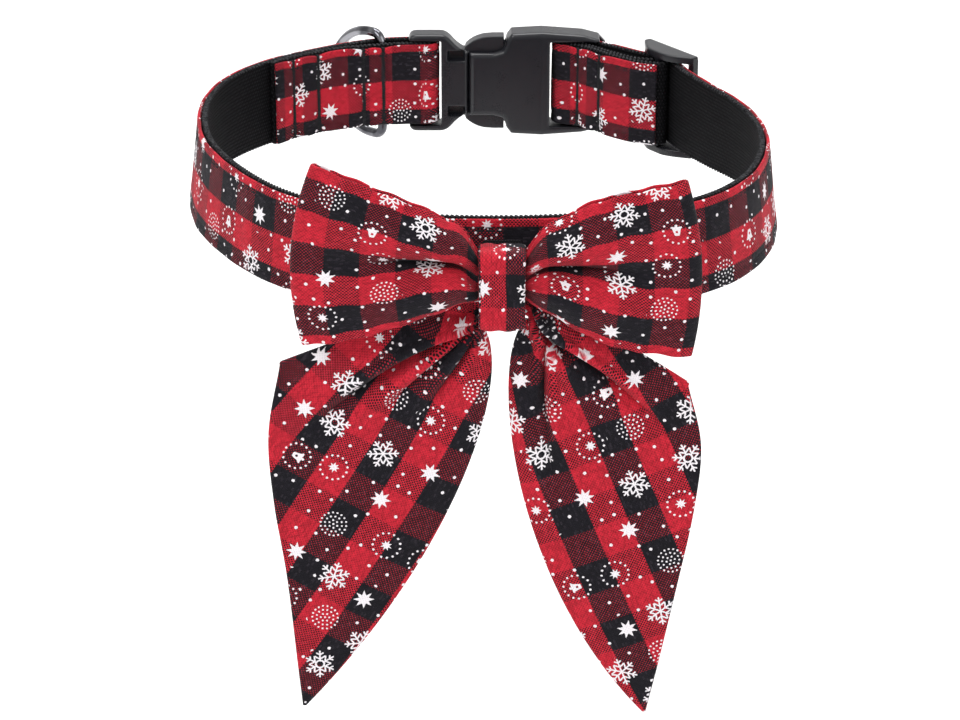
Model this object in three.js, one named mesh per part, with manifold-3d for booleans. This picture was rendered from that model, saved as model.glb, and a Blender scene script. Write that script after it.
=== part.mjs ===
// A dog or cat collar with a bow tie: a one inch strap in a closed loop, fastened by a side release
// buckle at the back, with a leash ring, a strap adjuster and a sailor bow with two tails in front.
// Millimetres. +Z is up, -Y is the front with the bow, and the origin is the middle of the neck space.
import * as THREE from "three";
import { mergeVertices } from "three/addons/utils/BufferGeometryUtils.js";
import Module from "manifold-3d";

// ---- Driving dimensions ----------------------------------------------------------------------

const GAP = 0.3; // air left between two pieces that touch

const STRAP = { width: 25, webbing: 1.4, cover: 1.0, coverWidth: 23.6, flare: 1.6 };
const COVER_OFFSET = STRAP.webbing / 2 + GAP + STRAP.cover / 2;
const LAYER = STRAP.webbing + GAP; // from one layer of webbing to the next

// Middle line of the strap's outer run seen from above, from the buckle's prong half round the front
// to its socket half. The rows near the adjuster carry the strap over its centre bar.
const RUN = [
  { x: -18.5, y: 71.5 },
  { x: -24.0, y: 71.2 },
  { x: -31.0, y: 69.8 },
  { x: -39.0, y: 66.2 },
  { x: -48.5, y: 60.3 },
  { x: -59.7, y: 51.6 },
  { x: -68.5, y: 41.0 },
  { x: -74.4, y: 29.0 },
  { x: -77.8, y: 14.0 },
  { x: -77.4, y: -3.0 },
  { x: -73.8, y: -20.5 },
  { x: -66.0, y: -38.0 },
  { x: -53.5, y: -56.0 },
  { x: -38.0, y: -68.0 },
  { x: -18.0, y: -74.8 },
  { x: 5.0, y: -76.6 },
  { x: 28.0, y: -74.4 },
  { x: 46.0, y: -69.3 },
  { x: 59.5, y: -60.5 },
  { x: 69.2, y: -48.0 },
  { x: 75.1, y: -32.5 },
  { x: 77.6, y: -14.5 },
  { x: 76.2, y: 2.0 },
  { x: 71.6, y: 16.5 },
  { x: 65.0, y: 28.5 },
  { x: 58.3, y: 42.0 },
  { x: 56.5, y: 47.0 },
  { x: 54.7, y: 51.7 },
  { x: 50.6, y: 55.1 },
  { x: 46.2, y: 58.2 },
  { x: 39.8, y: 63.4 },
  { x: 33.0, y: 68.4 },
  { x: 28.5, y: 71.0 },
  { x: 25.4, y: 71.5 },
];

// Turned-back end on the left, as its depth inside the outer run at each share of its length.
const LEFT_END = {
  reach: 53,
  rows: [
    { share: 0.0, depth: 5.0 },
    { share: 0.12, depth: 4.8 },
    { share: 0.24, depth: 4.8 },
    { share: 0.36, depth: 4.0 },
    { share: 0.55, depth: 2.2 },
    { share: 0.7, depth: LAYER },
    { share: 1.0, depth: LAYER },
  ],
};

// Inner run on the right, from the socket half's bar to the adjuster's centre bar, and the sewn end
// that comes back from there between the two runs.
const INNER_RUN = [
  { x: 25.4, y: 66.5 },
  { x: 29.6, y: 64.2 },
  { x: 37.4, y: 56.4 },
  { x: 44.7, y: 50.4 },
];
const SEWN_END = [
  { x: 45.7, y: 52.1 },
  { x: 38.6, y: 57.7 },
  { x: 30.8, y: 65.4 },
  { x: 28.0, y: 67.3 },
];

const BUCKLE = {
  y: 69, // middle plane
  barThick: 3,
  prongBar: -16.8, // where each half's bar turns the strap back
  socketBar: 25.4,
  wrap: 2.5, // radius of the webbing's middle line round a bar
  prongHalf: { left: -21.5, right: -3.7, height: 30, thick: 7, slotRight: -11.8 },
  socketHalf: { left: -3.4, right: 37, height: 32, thick: 10, seam: 18, slotLeft: 20.4, rail: 33.8 },
  neck: 19.4, // height of both halves where they meet
  slotHeight: 26.4,
  railFace: 1.5, // the end rail's front face, behind the middle plane
  recess: { left: -9.9, right: -4.8, z: 8.6, height: 3.2, deep: 1.2 },
  groove: { width: 0.4, deep: 0.4 },
  cavity: { right: 14.4, height: 24.6, thick: 5.2 },
  prong: { thick: 4.6, lobe: 28.6, hook: 23.6, right: 13.2 },
};

const SLIDER = {
  centre: { x: 51.7, y: 49.6 },
  heading: new THREE.Vector2(0.6, -0.8), // along the strap, away from the buckle
  length: 22,
  height: 31,
  bar: 2.2,
  rail: 2.2,
  rise: 4.7, // the end bars stand this far outside the centre bar
  wrap: 2.1,
};

const RING = {
  x: -29.5,
  y: 67.7,
  wire: 2.8,
  height: 34.4, // over the outside of the wire
  depth: 19, // from the bar's axis to the far side of the wire's axis
  corner: 3.0,
  swing: 50, // how far it stands off the strap's own direction, in degrees
  drop: 1.0, // it hangs a little below the strap's middle
};

const BOW = { y: -90.2, cloth: 1.2, knotLeft: -0.8, knotRight: 11.2, behind: 0.45 };
const KNOT = {
  width: 12,
  top: 10.5,
  bottom: -11.1,
  front: -96.2,
  back: -82.6,
  wall: 1.5,
  corner: 3.2, // radius of the round corners
  slope: { long: 6, deep: 9 }, // the corner above at the back is larger, where the cloth slants away
};
const PAD = { width: 10, height: 17, front: -82.3, back: -80.2 };

// Each half of the bow's loop: the height of its lower and upper edges at each share of the way from
// the knot to the outer fold, how deep the loop stands open there, and how far its lobes swell.
const WINGS = {
  left: {
    side: -1,
    knot: BOW.knotLeft,
    edge: { lower: -44.8, middle: -46.9, upper: -41.4 },
    rows: [
      { share: 0.0, bottom: -2.8, top: 8.4, open: 2.2, swell: 0.0 },
      { share: 0.1, bottom: -3.9, top: 15.3, open: 3.4, swell: 2.6 },
      { share: 0.2, bottom: -5.3, top: 18.3, open: 4.6, swell: 2.8 },
      { share: 0.36, bottom: -7.5, top: 21.9, open: 5.6, swell: 2.2 },
      { share: 0.56, bottom: -10.2, top: 25.5, open: 5.8, swell: 1.2 },
      { share: 0.78, bottom: -13.1, top: 29.1, open: 4.6, swell: 0.4 },
      { share: 1.0, bottom: -15.0, top: 32.2, open: 2.2, swell: 0.0 },
    ],
  },
  right: {
    side: 1,
    knot: BOW.knotRight,
    edge: { lower: 52.6, middle: 54.5, upper: 50.4 },
    rows: [
      { share: 0.0, bottom: -2.8, top: 8.4, open: 2.2, swell: 0.0 },
      { share: 0.1, bottom: -5.2, top: 15.0, open: 3.4, swell: 2.6 },
      { share: 0.2, bottom: -7.4, top: 17.9, open: 4.6, swell: 2.8 },
      { share: 0.36, bottom: -11.1, top: 21.9, open: 5.6, swell: 2.2 },
      { share: 0.56, bottom: -14.4, top: 25.0, open: 5.8, swell: 1.2 },
      { share: 0.78, bottom: -16.4, top: 26.5, open: 4.6, swell: 0.4 },
      { share: 1.0, bottom: -18.4, top: 27.6, open: 2.2, swell: 0.0 },
    ],
  },
};

// Each tail as threads that leave the knot and bend twice on their way to the slanting end: the upper
// edge is the first row and the long inner edge the last.
const TAILS = {
  y: -85.5,
  thick: 2.0,
  inside: { top: -4.0, bottom: -7.2 }, // heights of the gathered end within the knot
  mouth: { top: -4.0, bottom: -10.4 }, // and where the cloth comes out beside it
  neck: 4.4, // length of the gathered end
  fold: 2.6,
  left: {
    side: -1,
    knot: -2.6, // where the cloth is clear of the knot
    rows: [
      { bend1: [-16, -10.0], bend2: [-35, -17.0], end: [-50.4, -23.4] },
      { bend1: [-14, -15.0], bend2: [-34, -28.0], end: [-54.0, -43.0] },
      { bend1: [-8.0, -22.0], bend2: [-30, -42.0], end: [-53.2, -63.0] },
      { bend1: [1.5, -25.0], bend2: [-22, -60.0], end: [-50.2, -86.0] },
      { bend1: [10.6, -21.0], bend2: [-5.3, -75.7], end: [-47.2, -123.2] },
    ],
  },
  right: {
    side: 1,
    knot: 13.0,
    rows: [
      { bend1: [24, -11.0], bend2: [38, -19.5], end: [52.2, -29.4] },
      { bend1: [23, -15.5], bend2: [40, -30.0], end: [56.0, -46.0] },
      { bend1: [18, -23.0], bend2: [37, -44.0], end: [54.8, -64.0] },
      { bend1: [8.5, -28.0], bend2: [29, -62.0], end: [50.8, -87.0] },
      { bend1: [1.2, -20.5], bend2: [8.5, -86.0], end: [43.6, -125.4] },
    ],
  },
};

// ---- Solids joined and cut -------------------------------------------------------------------

const wasm = await Module();
wasm.setup();

// A closed geometry as a solid that can be joined and cut.
function solid(geometry) {
  const bare = geometry.index ? geometry.toNonIndexed() : geometry.clone();
  bare.deleteAttribute("normal");
  bare.deleteAttribute("uv");
  const merged = mergeVertices(bare, 1e-4);
  return new wasm.Manifold(
    new wasm.Mesh({
      numProp: 3,
      vertProperties: new Float32Array(merged.attributes.position.array),
      triVerts: new Uint32Array(merged.index.array),
    }),
  );
}

// The geometry of a solid.
function geometryOf(made) {
  const mesh = made.getMesh();
  const geometry = new THREE.BufferGeometry();
  geometry.setAttribute("position", new THREE.BufferAttribute(mesh.vertProperties, 3));
  geometry.setIndex(new THREE.BufferAttribute(mesh.triVerts, 1));
  geometry.computeVertexNormals();
  return geometry;
}

// A box between two corners.
function block(from, to) {
  const size = to.map((value, i) => value - from[i]);
  const middle = to.map((value, i) => (value + from[i]) / 2);
  return solid(new THREE.BoxGeometry(...size).translate(...middle));
}

// An outline drawn in the XZ plane, given thickness along Y about a middle plane.
function plate(outline, middle, thick, bevel = 0) {
  const geometry = new THREE.ExtrudeGeometry(outline, {
    depth: thick - 2 * bevel,
    bevelEnabled: bevel > 0,
    bevelThickness: bevel,
    bevelSize: bevel,
    bevelOffset: -bevel,
    bevelSegments: 2,
    curveSegments: 6,
  });
  geometry.translate(0, 0, bevel - thick / 2);
  geometry.rotateX(Math.PI / 2);
  return solid(geometry.translate(0, middle, 0));
}

// ---- Walls -----------------------------------------------------------------------------------

// A closed wall through rings of points. Each ring goes along one face and back along the other.
function wall(rings, closed = false) {
  const size = rings[0].length;
  const points = rings.flat().flatMap((p) => [p.x, p.y, p.z]);
  const faces = [];
  const last = closed ? rings.length : rings.length - 1;
  for (let i = 0; i < last; i++) {
    const a = i * size;
    const b = ((i + 1) % rings.length) * size;
    for (let k = 0; k < size; k++) {
      const next = (k + 1) % size;
      faces.push(a + k, a + next, b + k, a + next, b + next, b + k);
    }
  }
  if (!closed) {
    const end = (rings.length - 1) * size;
    for (let k = 0; k < size / 2 - 1; k++) {
      const [p, q, r, s] = [k, k + 1, size - 2 - k, size - 1 - k];
      faces.push(p, s, r, p, r, q);
      faces.push(end + p, end + r, end + s, end + p, end + q, end + r);
    }
  }
  const geometry = new THREE.BufferGeometry();
  geometry.setAttribute("position", new THREE.Float32BufferAttribute(points, 3));
  geometry.setIndex(faces);
  return facingOut(geometry);
}

// The same geometry with its faces turned to point outwards.
function facingOut(geometry) {
  const p = geometry.attributes.position;
  const index = geometry.index.array;
  const corner = [0, 1, 2].map(() => new THREE.Vector3());
  let volume = 0;
  for (let i = 0; i < index.length; i += 3) {
    corner.forEach((v, k) => v.fromBufferAttribute(p, index[i + k]));
    volume += corner[0].dot(corner[1].clone().cross(corner[2]));
  }
  if (volume < 0) {
    for (let i = 0; i < index.length; i += 3) {
      [index[i + 1], index[i + 2]] = [index[i + 2], index[i + 1]];
    }
  }
  geometry.computeVertexNormals();
  return geometry;
}

// A cloth wall of even thickness on a surface: surface(u, v) gives a point, with u along the cloth.
function cloth(surface, alongSteps, acrossSteps, thick, closed = false) {
  const step = 1e-3;
  const rings = [];
  const rows = closed ? alongSteps : alongSteps + 1;
  for (let i = 0; i < rows; i++) {
    const u = i / alongSteps;
    const front = [];
    const back = [];
    for (let k = 0; k <= acrossSteps; k++) {
      const v = k / acrossSteps;
      const point = surface(u, v);
      const [u0, u1] = closed ? [u - step, u + step] : [Math.max(u - step, 0), Math.min(u + step, 1)];
      const [v0, v1] = [Math.max(v - step, 0), Math.min(v + step, 1)];
      const along = surface(u1, v).sub(surface(u0, v));
      const across = surface(u, v1).sub(surface(u, v0));
      const normal = along.cross(across).normalize();
      front.push(point.clone().addScaledVector(normal, thick / 2));
      back.push(point.clone().addScaledVector(normal, -thick / 2));
    }
    rings.push([...front, ...back.reverse()]);
  }
  return wall(rings, closed);
}

// The value of a named column at a share, smoothed between a table's rows.
function column(rows, share, name) {
  const next = Math.max(1, rows.findIndex((row) => row.share >= share));
  const [a, b] = [rows[next - 1], rows[next]];
  const t = (share - a.share) / (b.share - a.share);
  const slope = (i) => {
    const [p, q] = [rows[Math.max(i - 1, 0)], rows[Math.min(i + 1, rows.length - 1)]];
    return (q[name] - p[name]) / (q.share - p.share);
  };
  const span = b.share - a.share;
  const [h00, h10] = [2 * t ** 3 - 3 * t ** 2 + 1, t ** 3 - 2 * t ** 2 + t];
  const [h01, h11] = [3 * t ** 2 - 2 * t ** 3, t ** 3 - t ** 2];
  return h00 * a[name] + h10 * span * slope(next - 1) + h01 * b[name] + h11 * span * slope(next);
}

// ---- Strap -----------------------------------------------------------------------------------

const flat = (point) => new THREE.Vector3(point.x, point.y, 0);
const runCurve = new THREE.CatmullRomCurve3(RUN.map(flat), false, "centripetal");
const RUN_STEPS = 96;

// Points along an arc in plan, from one bearing to another in degrees.
function arc(centre, radius, from, to, steps) {
  return Array.from({ length: steps + 1 }, (_, i) => {
    const bearing = THREE.MathUtils.degToRad(from + ((to - from) * i) / steps);
    return new THREE.Vector3(
      centre.x + radius * Math.cos(bearing),
      centre.y + radius * Math.sin(bearing),
      0,
    );
  });
}

// Points of a smooth curve through plan points.
function smooth(points, steps) {
  return new THREE.CatmullRomCurve3(points, false, "centripetal").getSpacedPoints(steps);
}

// The turned-back end on the left, from its free end to the prong half's bar.
function leftEnd() {
  const steps = 22;
  const total = runCurve.getLength();
  return Array.from({ length: steps + 1 }, (_, i) => {
    const share = 1 - i / steps;
    const at = (share * LEFT_END.reach) / total;
    const tangent = runCurve.getTangentAt(at);
    const inward = new THREE.Vector3(-tangent.y, tangent.x, 0);
    return runCurve.getPointAt(at).addScaledVector(inward, column(LEFT_END.rows, share, "depth"));
  });
}

// The whole strap in plan, from the left free end to the sewn end on the right.
function strapRoute() {
  const prongBar = { x: BUCKLE.prongBar, y: BUCKLE.y };
  const socketBar = { x: BUCKLE.socketBar, y: BUCKLE.y };
  const roundProng = arc(prongBar, BUCKLE.wrap, -90, 90, 8);
  const roundSocket = arc(socketBar, BUCKLE.wrap, 90, 270, 8);
  const roundSlider = arc(SLIDER.centre, SLIDER.wrap, -112, 68, 8);
  const inner = smooth([...INNER_RUN.map(flat), roundSlider[0]], 14);
  const sewn = smooth([roundSlider[8], ...SEWN_END.map(flat)], 12);
  return [
    ...leftEnd(),
    ...roundProng,
    ...runCurve.getSpacedPoints(RUN_STEPS).slice(0, -1),
    ...roundSocket,
    ...inner.slice(1, -1),
    ...roundSlider,
    ...sewn.slice(1),
  ];
}

// One layer of the strap along a stretch of its route, offset towards its patterned side.
function strapLayer(route, offset, thick, width) {
  const rings = route.map((point, i) => {
    const ahead = route[Math.min(i + 1, route.length - 1)];
    const behind = route[Math.max(i - 1, 0)];
    const tangent = ahead.clone().sub(behind).normalize();
    const side = new THREE.Vector3(tangent.y, -tangent.x, 0);
    const outward = THREE.MathUtils.smoothstep(50 - point.y, 0, 45) * STRAP.flare;
    const at = (out, z) =>
      point
        .clone()
        .addScaledVector(side, out - (outward * z) / (STRAP.width / 2))
        .setZ(z);
    const [low, high] = [-width / 2, width / 2];
    const [near, far] = [offset - thick / 2, offset + thick / 2];
    return [at(far, low), at(far, 0), at(far, high), at(near, high), at(near, 0), at(near, low)];
  });
  return wall(rings);
}

const route = strapRoute();
const bareSteps = 16; // steps at the sewn end that the cover leaves bare
const strapWebbing = strapLayer(route, 0, STRAP.webbing, STRAP.width);
const strapCover = strapLayer(
  route.slice(0, route.length - bareSteps),
  COVER_OFFSET,
  STRAP.cover,
  STRAP.coverWidth,
);

// ---- Buckle ----------------------------------------------------------------------------------

// The outline of the prong half: a frame for the strap that curves in to the neck.
function prongFrameOutline() {
  const { left, right, height } = BUCKLE.prongHalf;
  const [tall, neck] = [height / 2, BUCKLE.neck / 2];
  const outline = new THREE.Shape();
  outline.moveTo(left + 2.5, -tall);
  outline.lineTo(-12.2, -tall);
  outline.quadraticCurveTo(-10.2, -tall, -8.6, -tall + 2);
  outline.quadraticCurveTo(-6, -neck - 0.2, right, -neck);
  outline.lineTo(right, neck);
  outline.quadraticCurveTo(-6, neck + 0.2, -8.6, tall - 2);
  outline.quadraticCurveTo(-10.2, tall, -12.2, tall);
  outline.lineTo(left + 2.5, tall);
  outline.quadraticCurveTo(left, tall, left, tall - 2.5);
  outline.lineTo(left, -tall + 2.5);
  outline.quadraticCurveTo(left, -tall, left + 2.5, -tall);
  return outline;
}

// The prongs and the guide between them, which lie inside the socket half.
function prongOutline() {
  const { lobe, hook, right } = BUCKLE.prong;
  const outline = new THREE.Shape();
  outline.moveTo(-5, -9);
  outline.lineTo(-4.6, -11.2);
  outline.quadraticCurveTo(-1.5, -lobe / 2, 3, -lobe / 2);
  outline.lineTo(6.8, -lobe / 2);
  outline.lineTo(6.8, -hook / 2);
  outline.lineTo(right - 1, -hook / 2);
  outline.lineTo(right, -9.4);
  outline.lineTo(3, -7);
  outline.lineTo(-1, -5);
  outline.lineTo(-1, -2.4);
  outline.lineTo(right - 1.5, -2);
  outline.lineTo(right - 1.5, 2);
  outline.lineTo(-1, 2.4);
  outline.lineTo(-1, 5);
  outline.lineTo(3, 7);
  outline.lineTo(right, 9.4);
  outline.lineTo(right - 1, hook / 2);
  outline.lineTo(6.8, hook / 2);
  outline.lineTo(6.8, lobe / 2);
  outline.lineTo(3, lobe / 2);
  outline.quadraticCurveTo(-1.5, lobe / 2, -4.6, 11.2);
  outline.lineTo(-5, 9);
  outline.lineTo(-5, -9);
  return outline;
}

// A bar with round edges that the strap wraps, from one edge's centre to the other's along X.
function strapBar(from, to) {
  const radius = BUCKLE.barThick / 2;
  const outline = new THREE.Shape();
  outline.absarc(from, BUCKLE.y, radius, Math.PI / 2, (3 * Math.PI) / 2);
  outline.absarc(to, BUCKLE.y, radius, -Math.PI / 2, Math.PI / 2);
  const height = BUCKLE.slotHeight + 2;
  const bar = { depth: height, bevelEnabled: false, curveSegments: 8 };
  const geometry = new THREE.ExtrudeGeometry(outline, bar);
  return solid(geometry.translate(0, 0, -height / 2));
}

// The prong half: its frame, with a bar for the strap, and its prongs.
function prongHalf() {
  const { left, thick, slotRight } = BUCKLE.prongHalf;
  const [front, back] = [BUCKLE.y - thick / 2, BUCKLE.y + thick / 2];
  const half = BUCKLE.slotHeight / 2;
  const hole = block([left - 1, front - 1, -half], [slotRight, back + 1, half]);
  let made = plate(prongFrameOutline(), BUCKLE.y, thick, 1.0).subtract(hole);
  const recess = BUCKLE.recess;
  for (const z of [recess.z, -recess.z]) {
    const [low, high] = [z - recess.height / 2, z + recess.height / 2];
    made = made.subtract(block([recess.left, front - 1, low], [recess.right, front + recess.deep, high]));
  }
  made = made.add(strapBar(left + 3.1, BUCKLE.prongBar));
  return made.add(plate(prongOutline(), BUCKLE.y, BUCKLE.prong.thick));
}

// The outline of the socket half: narrow between the prong lobes, then tall, with the strap's loop.
function socketOutline() {
  const { left, right, height, seam } = BUCKLE.socketHalf;
  const [tall, neck] = [height / 2, BUCKLE.neck / 2];
  const side = (s) => [
    [left, s * neck],
    [3.6, s * neck],
    [6.4, s * (neck + 0.8)],
    [7.2, s * (neck + 2.3)],
    [7.6, s * (tall - 2.4)],
    [9.0, s * (tall - 0.5)],
    [seam, s * tall],
    [right - 7, s * (tall - 0.9)],
    [right - 2.2, s * (tall - 2.2)],
    [right, s * (tall - 4.6)],
  ];
  return new THREE.Shape([...side(-1), ...side(1).reverse()].map(([x, z]) => new THREE.Vector2(x, z)));
}

// The socket half: a shell with room for the prongs, and a loop with a bar and an end rail.
function socketHalf() {
  const { left, right, thick, seam, slotLeft, rail } = BUCKLE.socketHalf;
  const [front, back] = [BUCKLE.y - thick / 2, BUCKLE.y + thick / 2];
  const half = BUCKLE.slotHeight / 2;
  const room = BUCKLE.cavity;
  const cavity = block(
    [left - 1, BUCKLE.y - room.thick / 2, -room.height / 2],
    [room.right, BUCKLE.y + room.thick / 2, room.height / 2],
  );
  const slot = block([slotLeft, front - 1, -half], [rail, back + 1, half]);
  const underRail = block([rail - 1, front - 1, -half], [right + 1, BUCKLE.y + BUCKLE.railFace, half]);
  let made = plate(socketOutline(), BUCKLE.y, thick, 1.2);
  for (const cut of [cavity, slot, underRail]) made = made.subtract(cut);
  const groove = BUCKLE.groove;
  const reach = BUCKLE.socketHalf.height / 2 + 1;
  for (const y of [front + groove.deep - 1, back - groove.deep]) {
    const [low, high] = [[seam - groove.width / 2, y, -reach], [seam + groove.width / 2, y + 1, reach]];
    made = made.subtract(block(low, high));
  }
  return made.add(strapBar(BUCKLE.socketBar, BUCKLE.socketBar));
}

// ---- Adjuster --------------------------------------------------------------------------------

// The adjuster in its own plane: X along the strap, Y outwards, then turned to its place.
function slider() {
  const { length, height, bar, rail, rise, centre, heading } = SLIDER;
  const [half, low] = [length / 2, -bar / 2];
  const side = new THREE.Shape();
  side.moveTo(-half, rise - 1.1);
  side.quadraticCurveTo(-5, low, -2.4, low);
  side.lineTo(2.4, low);
  side.quadraticCurveTo(5, low, half, rise - 1.1);
  side.lineTo(half, rise + 0.6);
  side.quadraticCurveTo(half, rise + 1.1, half - 1, rise + 1.1);
  side.lineTo(-half + 1, rise + 1.1);
  side.quadraticCurveTo(-half, rise + 1.1, -half, rise + 0.6);
  side.lineTo(-half, rise - 1.1);
  const sheet = { depth: rail, bevelEnabled: false, curveSegments: 6 };
  const rails = [height / 2 - rail, -height / 2].map((z) => {
    return solid(new THREE.ExtrudeGeometry(side, sheet).translate(0, 0, z));
  });
  const reach = height / 2 - rail / 2;
  const centreBar = solid(new THREE.CylinderGeometry(bar / 2, bar / 2, 2 * reach, 16).rotateX(Math.PI / 2));
  const endBars = [-half + 1.1, half - 1.1].map((x) => {
    return block([x - 1.1, rise - 1.1, -reach], [x + 1.1, rise + 1.1, reach]);
  });
  const made = [rails[1], centreBar, ...endBars].reduce((whole, piece) => whole.add(piece), rails[0]);
  const geometry = geometryOf(made);
  geometry.applyMatrix4(
    new THREE.Matrix4().makeBasis(
      new THREE.Vector3(heading.x, heading.y, 0),
      new THREE.Vector3(-heading.y, heading.x, 0),
      new THREE.Vector3(0, 0, 1),
    ),
  );
  return geometry.translate(centre.x, centre.y, 0);
}

// ---- Leash ring ------------------------------------------------------------------------------

// The closed wire of the leash ring: a straight bar, two small corners and a round far side.
function leashRing() {
  const { wire, height, depth, corner } = RING;
  const top = (height - wire) / 2;
  const points = [];
  const bar = top - corner;
  for (const share of [-1, -0.5, 0, 0.5, 1]) points.push([0, share * bar]);
  for (const turn of [30, 60, 90]) {
    const angle = THREE.MathUtils.degToRad(turn);
    points.push([corner - corner * Math.cos(angle), bar + corner * Math.sin(angle)]);
  }
  const reach = depth - corner - 1.4;
  for (let turn = 0; turn <= 180; turn += 20) {
    const angle = THREE.MathUtils.degToRad(90 - turn);
    points.push([corner + 1.4 + reach * Math.cos(angle), top * Math.sin(angle)]);
  }
  for (const turn of [90, 60, 30]) {
    const angle = THREE.MathUtils.degToRad(turn);
    points.push([corner - corner * Math.cos(angle), -bar - corner * Math.sin(angle)]);
  }
  const tangent = runCurve.getTangentAt(11 / runCurve.getLength());
  const turned = Math.atan2(tangent.y, tangent.x) - THREE.MathUtils.degToRad(RING.swing);
  const path = points.map(([out, z]) => {
    const [x, y] = [RING.x + out * Math.cos(turned), RING.y + out * Math.sin(turned)];
    return new THREE.Vector3(x, y, z - RING.drop);
  });
  const curve = new THREE.CatmullRomCurve3(path, true, "centripetal");
  const section = new THREE.Shape(
    Array.from({ length: 8 }, (_, i) => {
      const angle = (i / 8) * 2 * Math.PI;
      return new THREE.Vector2((wire / 2) * Math.cos(angle), (wire / 2) * Math.sin(angle));
    }),
  );
  return new THREE.ExtrudeGeometry(section, { steps: 48, extrudePath: curve, bevelEnabled: false });
}

// ---- Bow -------------------------------------------------------------------------------------

// A point on one half of the bow's loop: the share from knot to fold, the height share, and the face,
// 1 in front and -1 behind, passing smoothly through 0 at the outer fold.
function wingPoint(wing, share, v, face) {
  const { lower, middle, upper } = wing.edge;
  const edge = lower * (1 - v) * (1 - 2 * v) + 4 * middle * v * (1 - v) + upper * v * (2 * v - 1);
  const [bottom, top, open, swell] = ["bottom", "top", "open", "swell"].map((name) => {
    return column(wing.rows, share, name);
  });
  const lobes = (1 - Math.cos(4 * Math.PI * v)) / 2 - 0.35;
  const depth = face > 0 ? face * (open + swell * lobes) : face * open * BOW.behind;
  return new THREE.Vector3(
    wing.knot + (edge - wing.knot) * share,
    BOW.y - depth,
    bottom + (top - bottom) * v,
  );
}

// The whole loop of the bow: out along the front, round the fold, back behind the knot, and again.
function bowLoop() {
  const shares = [0, 0.06, 0.13, 0.22, 0.34, 0.48, 0.64, 0.8, 0.95];
  const stops = [];
  const half = (wing) => {
    for (const share of shares) stops.push({ wing, share, face: 1 });
    for (const turn of [45, 90, 135]) {
      const angle = THREE.MathUtils.degToRad(turn);
      stops.push({ wing, share: 0.95 + 0.05 * Math.sin(angle), face: Math.cos(angle) });
    }
    for (const share of [...shares].reverse()) stops.push({ wing, share, face: -1 });
  };
  half(WINGS.left);
  const seam = stops.length;
  half(WINGS.right);
  // The right half is walked from behind to the front, so that the loop closes on itself.
  const order = [...stops.slice(0, seam), ...stops.slice(seam).reverse()];
  const across = 12;
  const grid = order.map((stop) => {
    return Array.from({ length: across + 1 }, (_, k) => {
      return wingPoint(stop.wing, stop.share, k / across, stop.face);
    });
  });
  const rings = grid.map((row, i) => {
    const ahead = grid[(i + 1) % grid.length];
    const behind = grid[(i + grid.length - 1) % grid.length];
    const sides = row.map((point, k) => {
      const along = ahead[k].clone().sub(behind[k]);
      const over = row[Math.min(k + 1, across)].clone().sub(row[Math.max(k - 1, 0)]);
      return along.cross(over).normalize().multiplyScalar(BOW.cloth / 2);
    });
    const front = row.map((point, k) => point.clone().add(sides[k]));
    const back = row.map((point, k) => point.clone().sub(sides[k]));
    return [...front, ...back.reverse()];
  });
  return wall(rings, true);
}

// A tail's surface: share from the knot to the slanting end, v from the upper edge to the inner edge.
function tailSurface(tail) {
  const controls = (name) => {
    const points = tail.rows.map((row) => new THREE.Vector3(row[name][0], 0, row[name][1]));
    return new THREE.CatmullRomCurve3(points, false, "centripetal");
  };
  const [bend1, bend2, end] = ["bend1", "bend2", "end"].map(controls);
  const gathered = 0.05; // share of the rows that lie inside the knot
  return (share, v) => {
    const u = Math.max(share - gathered, 0) / (1 - gathered);
    const { inside, mouth } = TAILS;
    const start = new THREE.Vector3(tail.knot, 0, THREE.MathUtils.lerp(mouth.top, mouth.bottom, v));
    const thread = new THREE.CubicBezierCurve3(start, bend1.getPoint(v), bend2.getPoint(v), end.getPoint(v));
    const point = thread.getPoint(u);
    const within = Math.max(1 - share / gathered, 0);
    point.x -= tail.side * TAILS.neck * within;
    point.z += (THREE.MathUtils.lerp(inside.top, inside.bottom, v) - start.z) * within;
    const free = THREE.MathUtils.smoothstep(v, 0.08, 0.5);
    const deep = THREE.MathUtils.smoothstep(u, 0.02, 0.25) * (1 - u) ** 1.1 * TAILS.fold * free;
    return point.setY(TAILS.y - deep * Math.cos(5 * Math.PI * v));
  };
}

// The knot: a band of cloth round the waist of the bow.
function knot() {
  const { width, top, bottom, front, back, wall: thick, corner, slope } = KNOT;
  const ring = (inset) => {
    const [y0, y1, z0, z1] = [front + inset, back - inset, bottom + inset, top - inset];
    const radius = corner - inset;
    const shape = new THREE.Shape();
    shape.moveTo(y0 + radius, z0);
    shape.lineTo(y1 - radius, z0);
    shape.quadraticCurveTo(y1, z0, y1, z0 + radius);
    shape.lineTo(y1, z1 - slope.deep + inset);
    shape.quadraticCurveTo(y1, z1, y1 - slope.long + inset, z1);
    shape.lineTo(y0 + radius, z1);
    shape.quadraticCurveTo(y0, z1, y0, z1 - radius);
    shape.lineTo(y0, z0 + radius);
    shape.quadraticCurveTo(y0, z0, y0 + radius, z0);
    return shape;
  };
  const outline = ring(0);
  outline.holes.push(ring(thick));
  const band = { depth: width, bevelEnabled: false, curveSegments: 5 };
  const geometry = new THREE.ExtrudeGeometry(outline, band);
  geometry.applyMatrix4(
    new THREE.Matrix4().makeBasis(
      new THREE.Vector3(0, 1, 0),
      new THREE.Vector3(0, 0, 1),
      new THREE.Vector3(1, 0, 0),
    ),
  );
  return geometry.translate((BOW.knotLeft + BOW.knotRight - width) / 2, 0, 0);
}

// ---- The collar ------------------------------------------------------------------------------

const look = (color, roughness, metalness = 0) => {
  return new THREE.MeshStandardMaterial({ color, roughness, metalness });
};
const LOOKS = {
  webbing: look(0x17171a, 0.85),
  check: look(0xb3202e, 0.8),
  plastic: look(0x1c1d22, 0.38),
  steel: look(0xc9ccd1, 0.18, 1),
};

function piece(name, geometry, material) {
  const mesh = new THREE.Mesh(geometry, material);
  mesh.name = name;
  return mesh;
}

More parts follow.
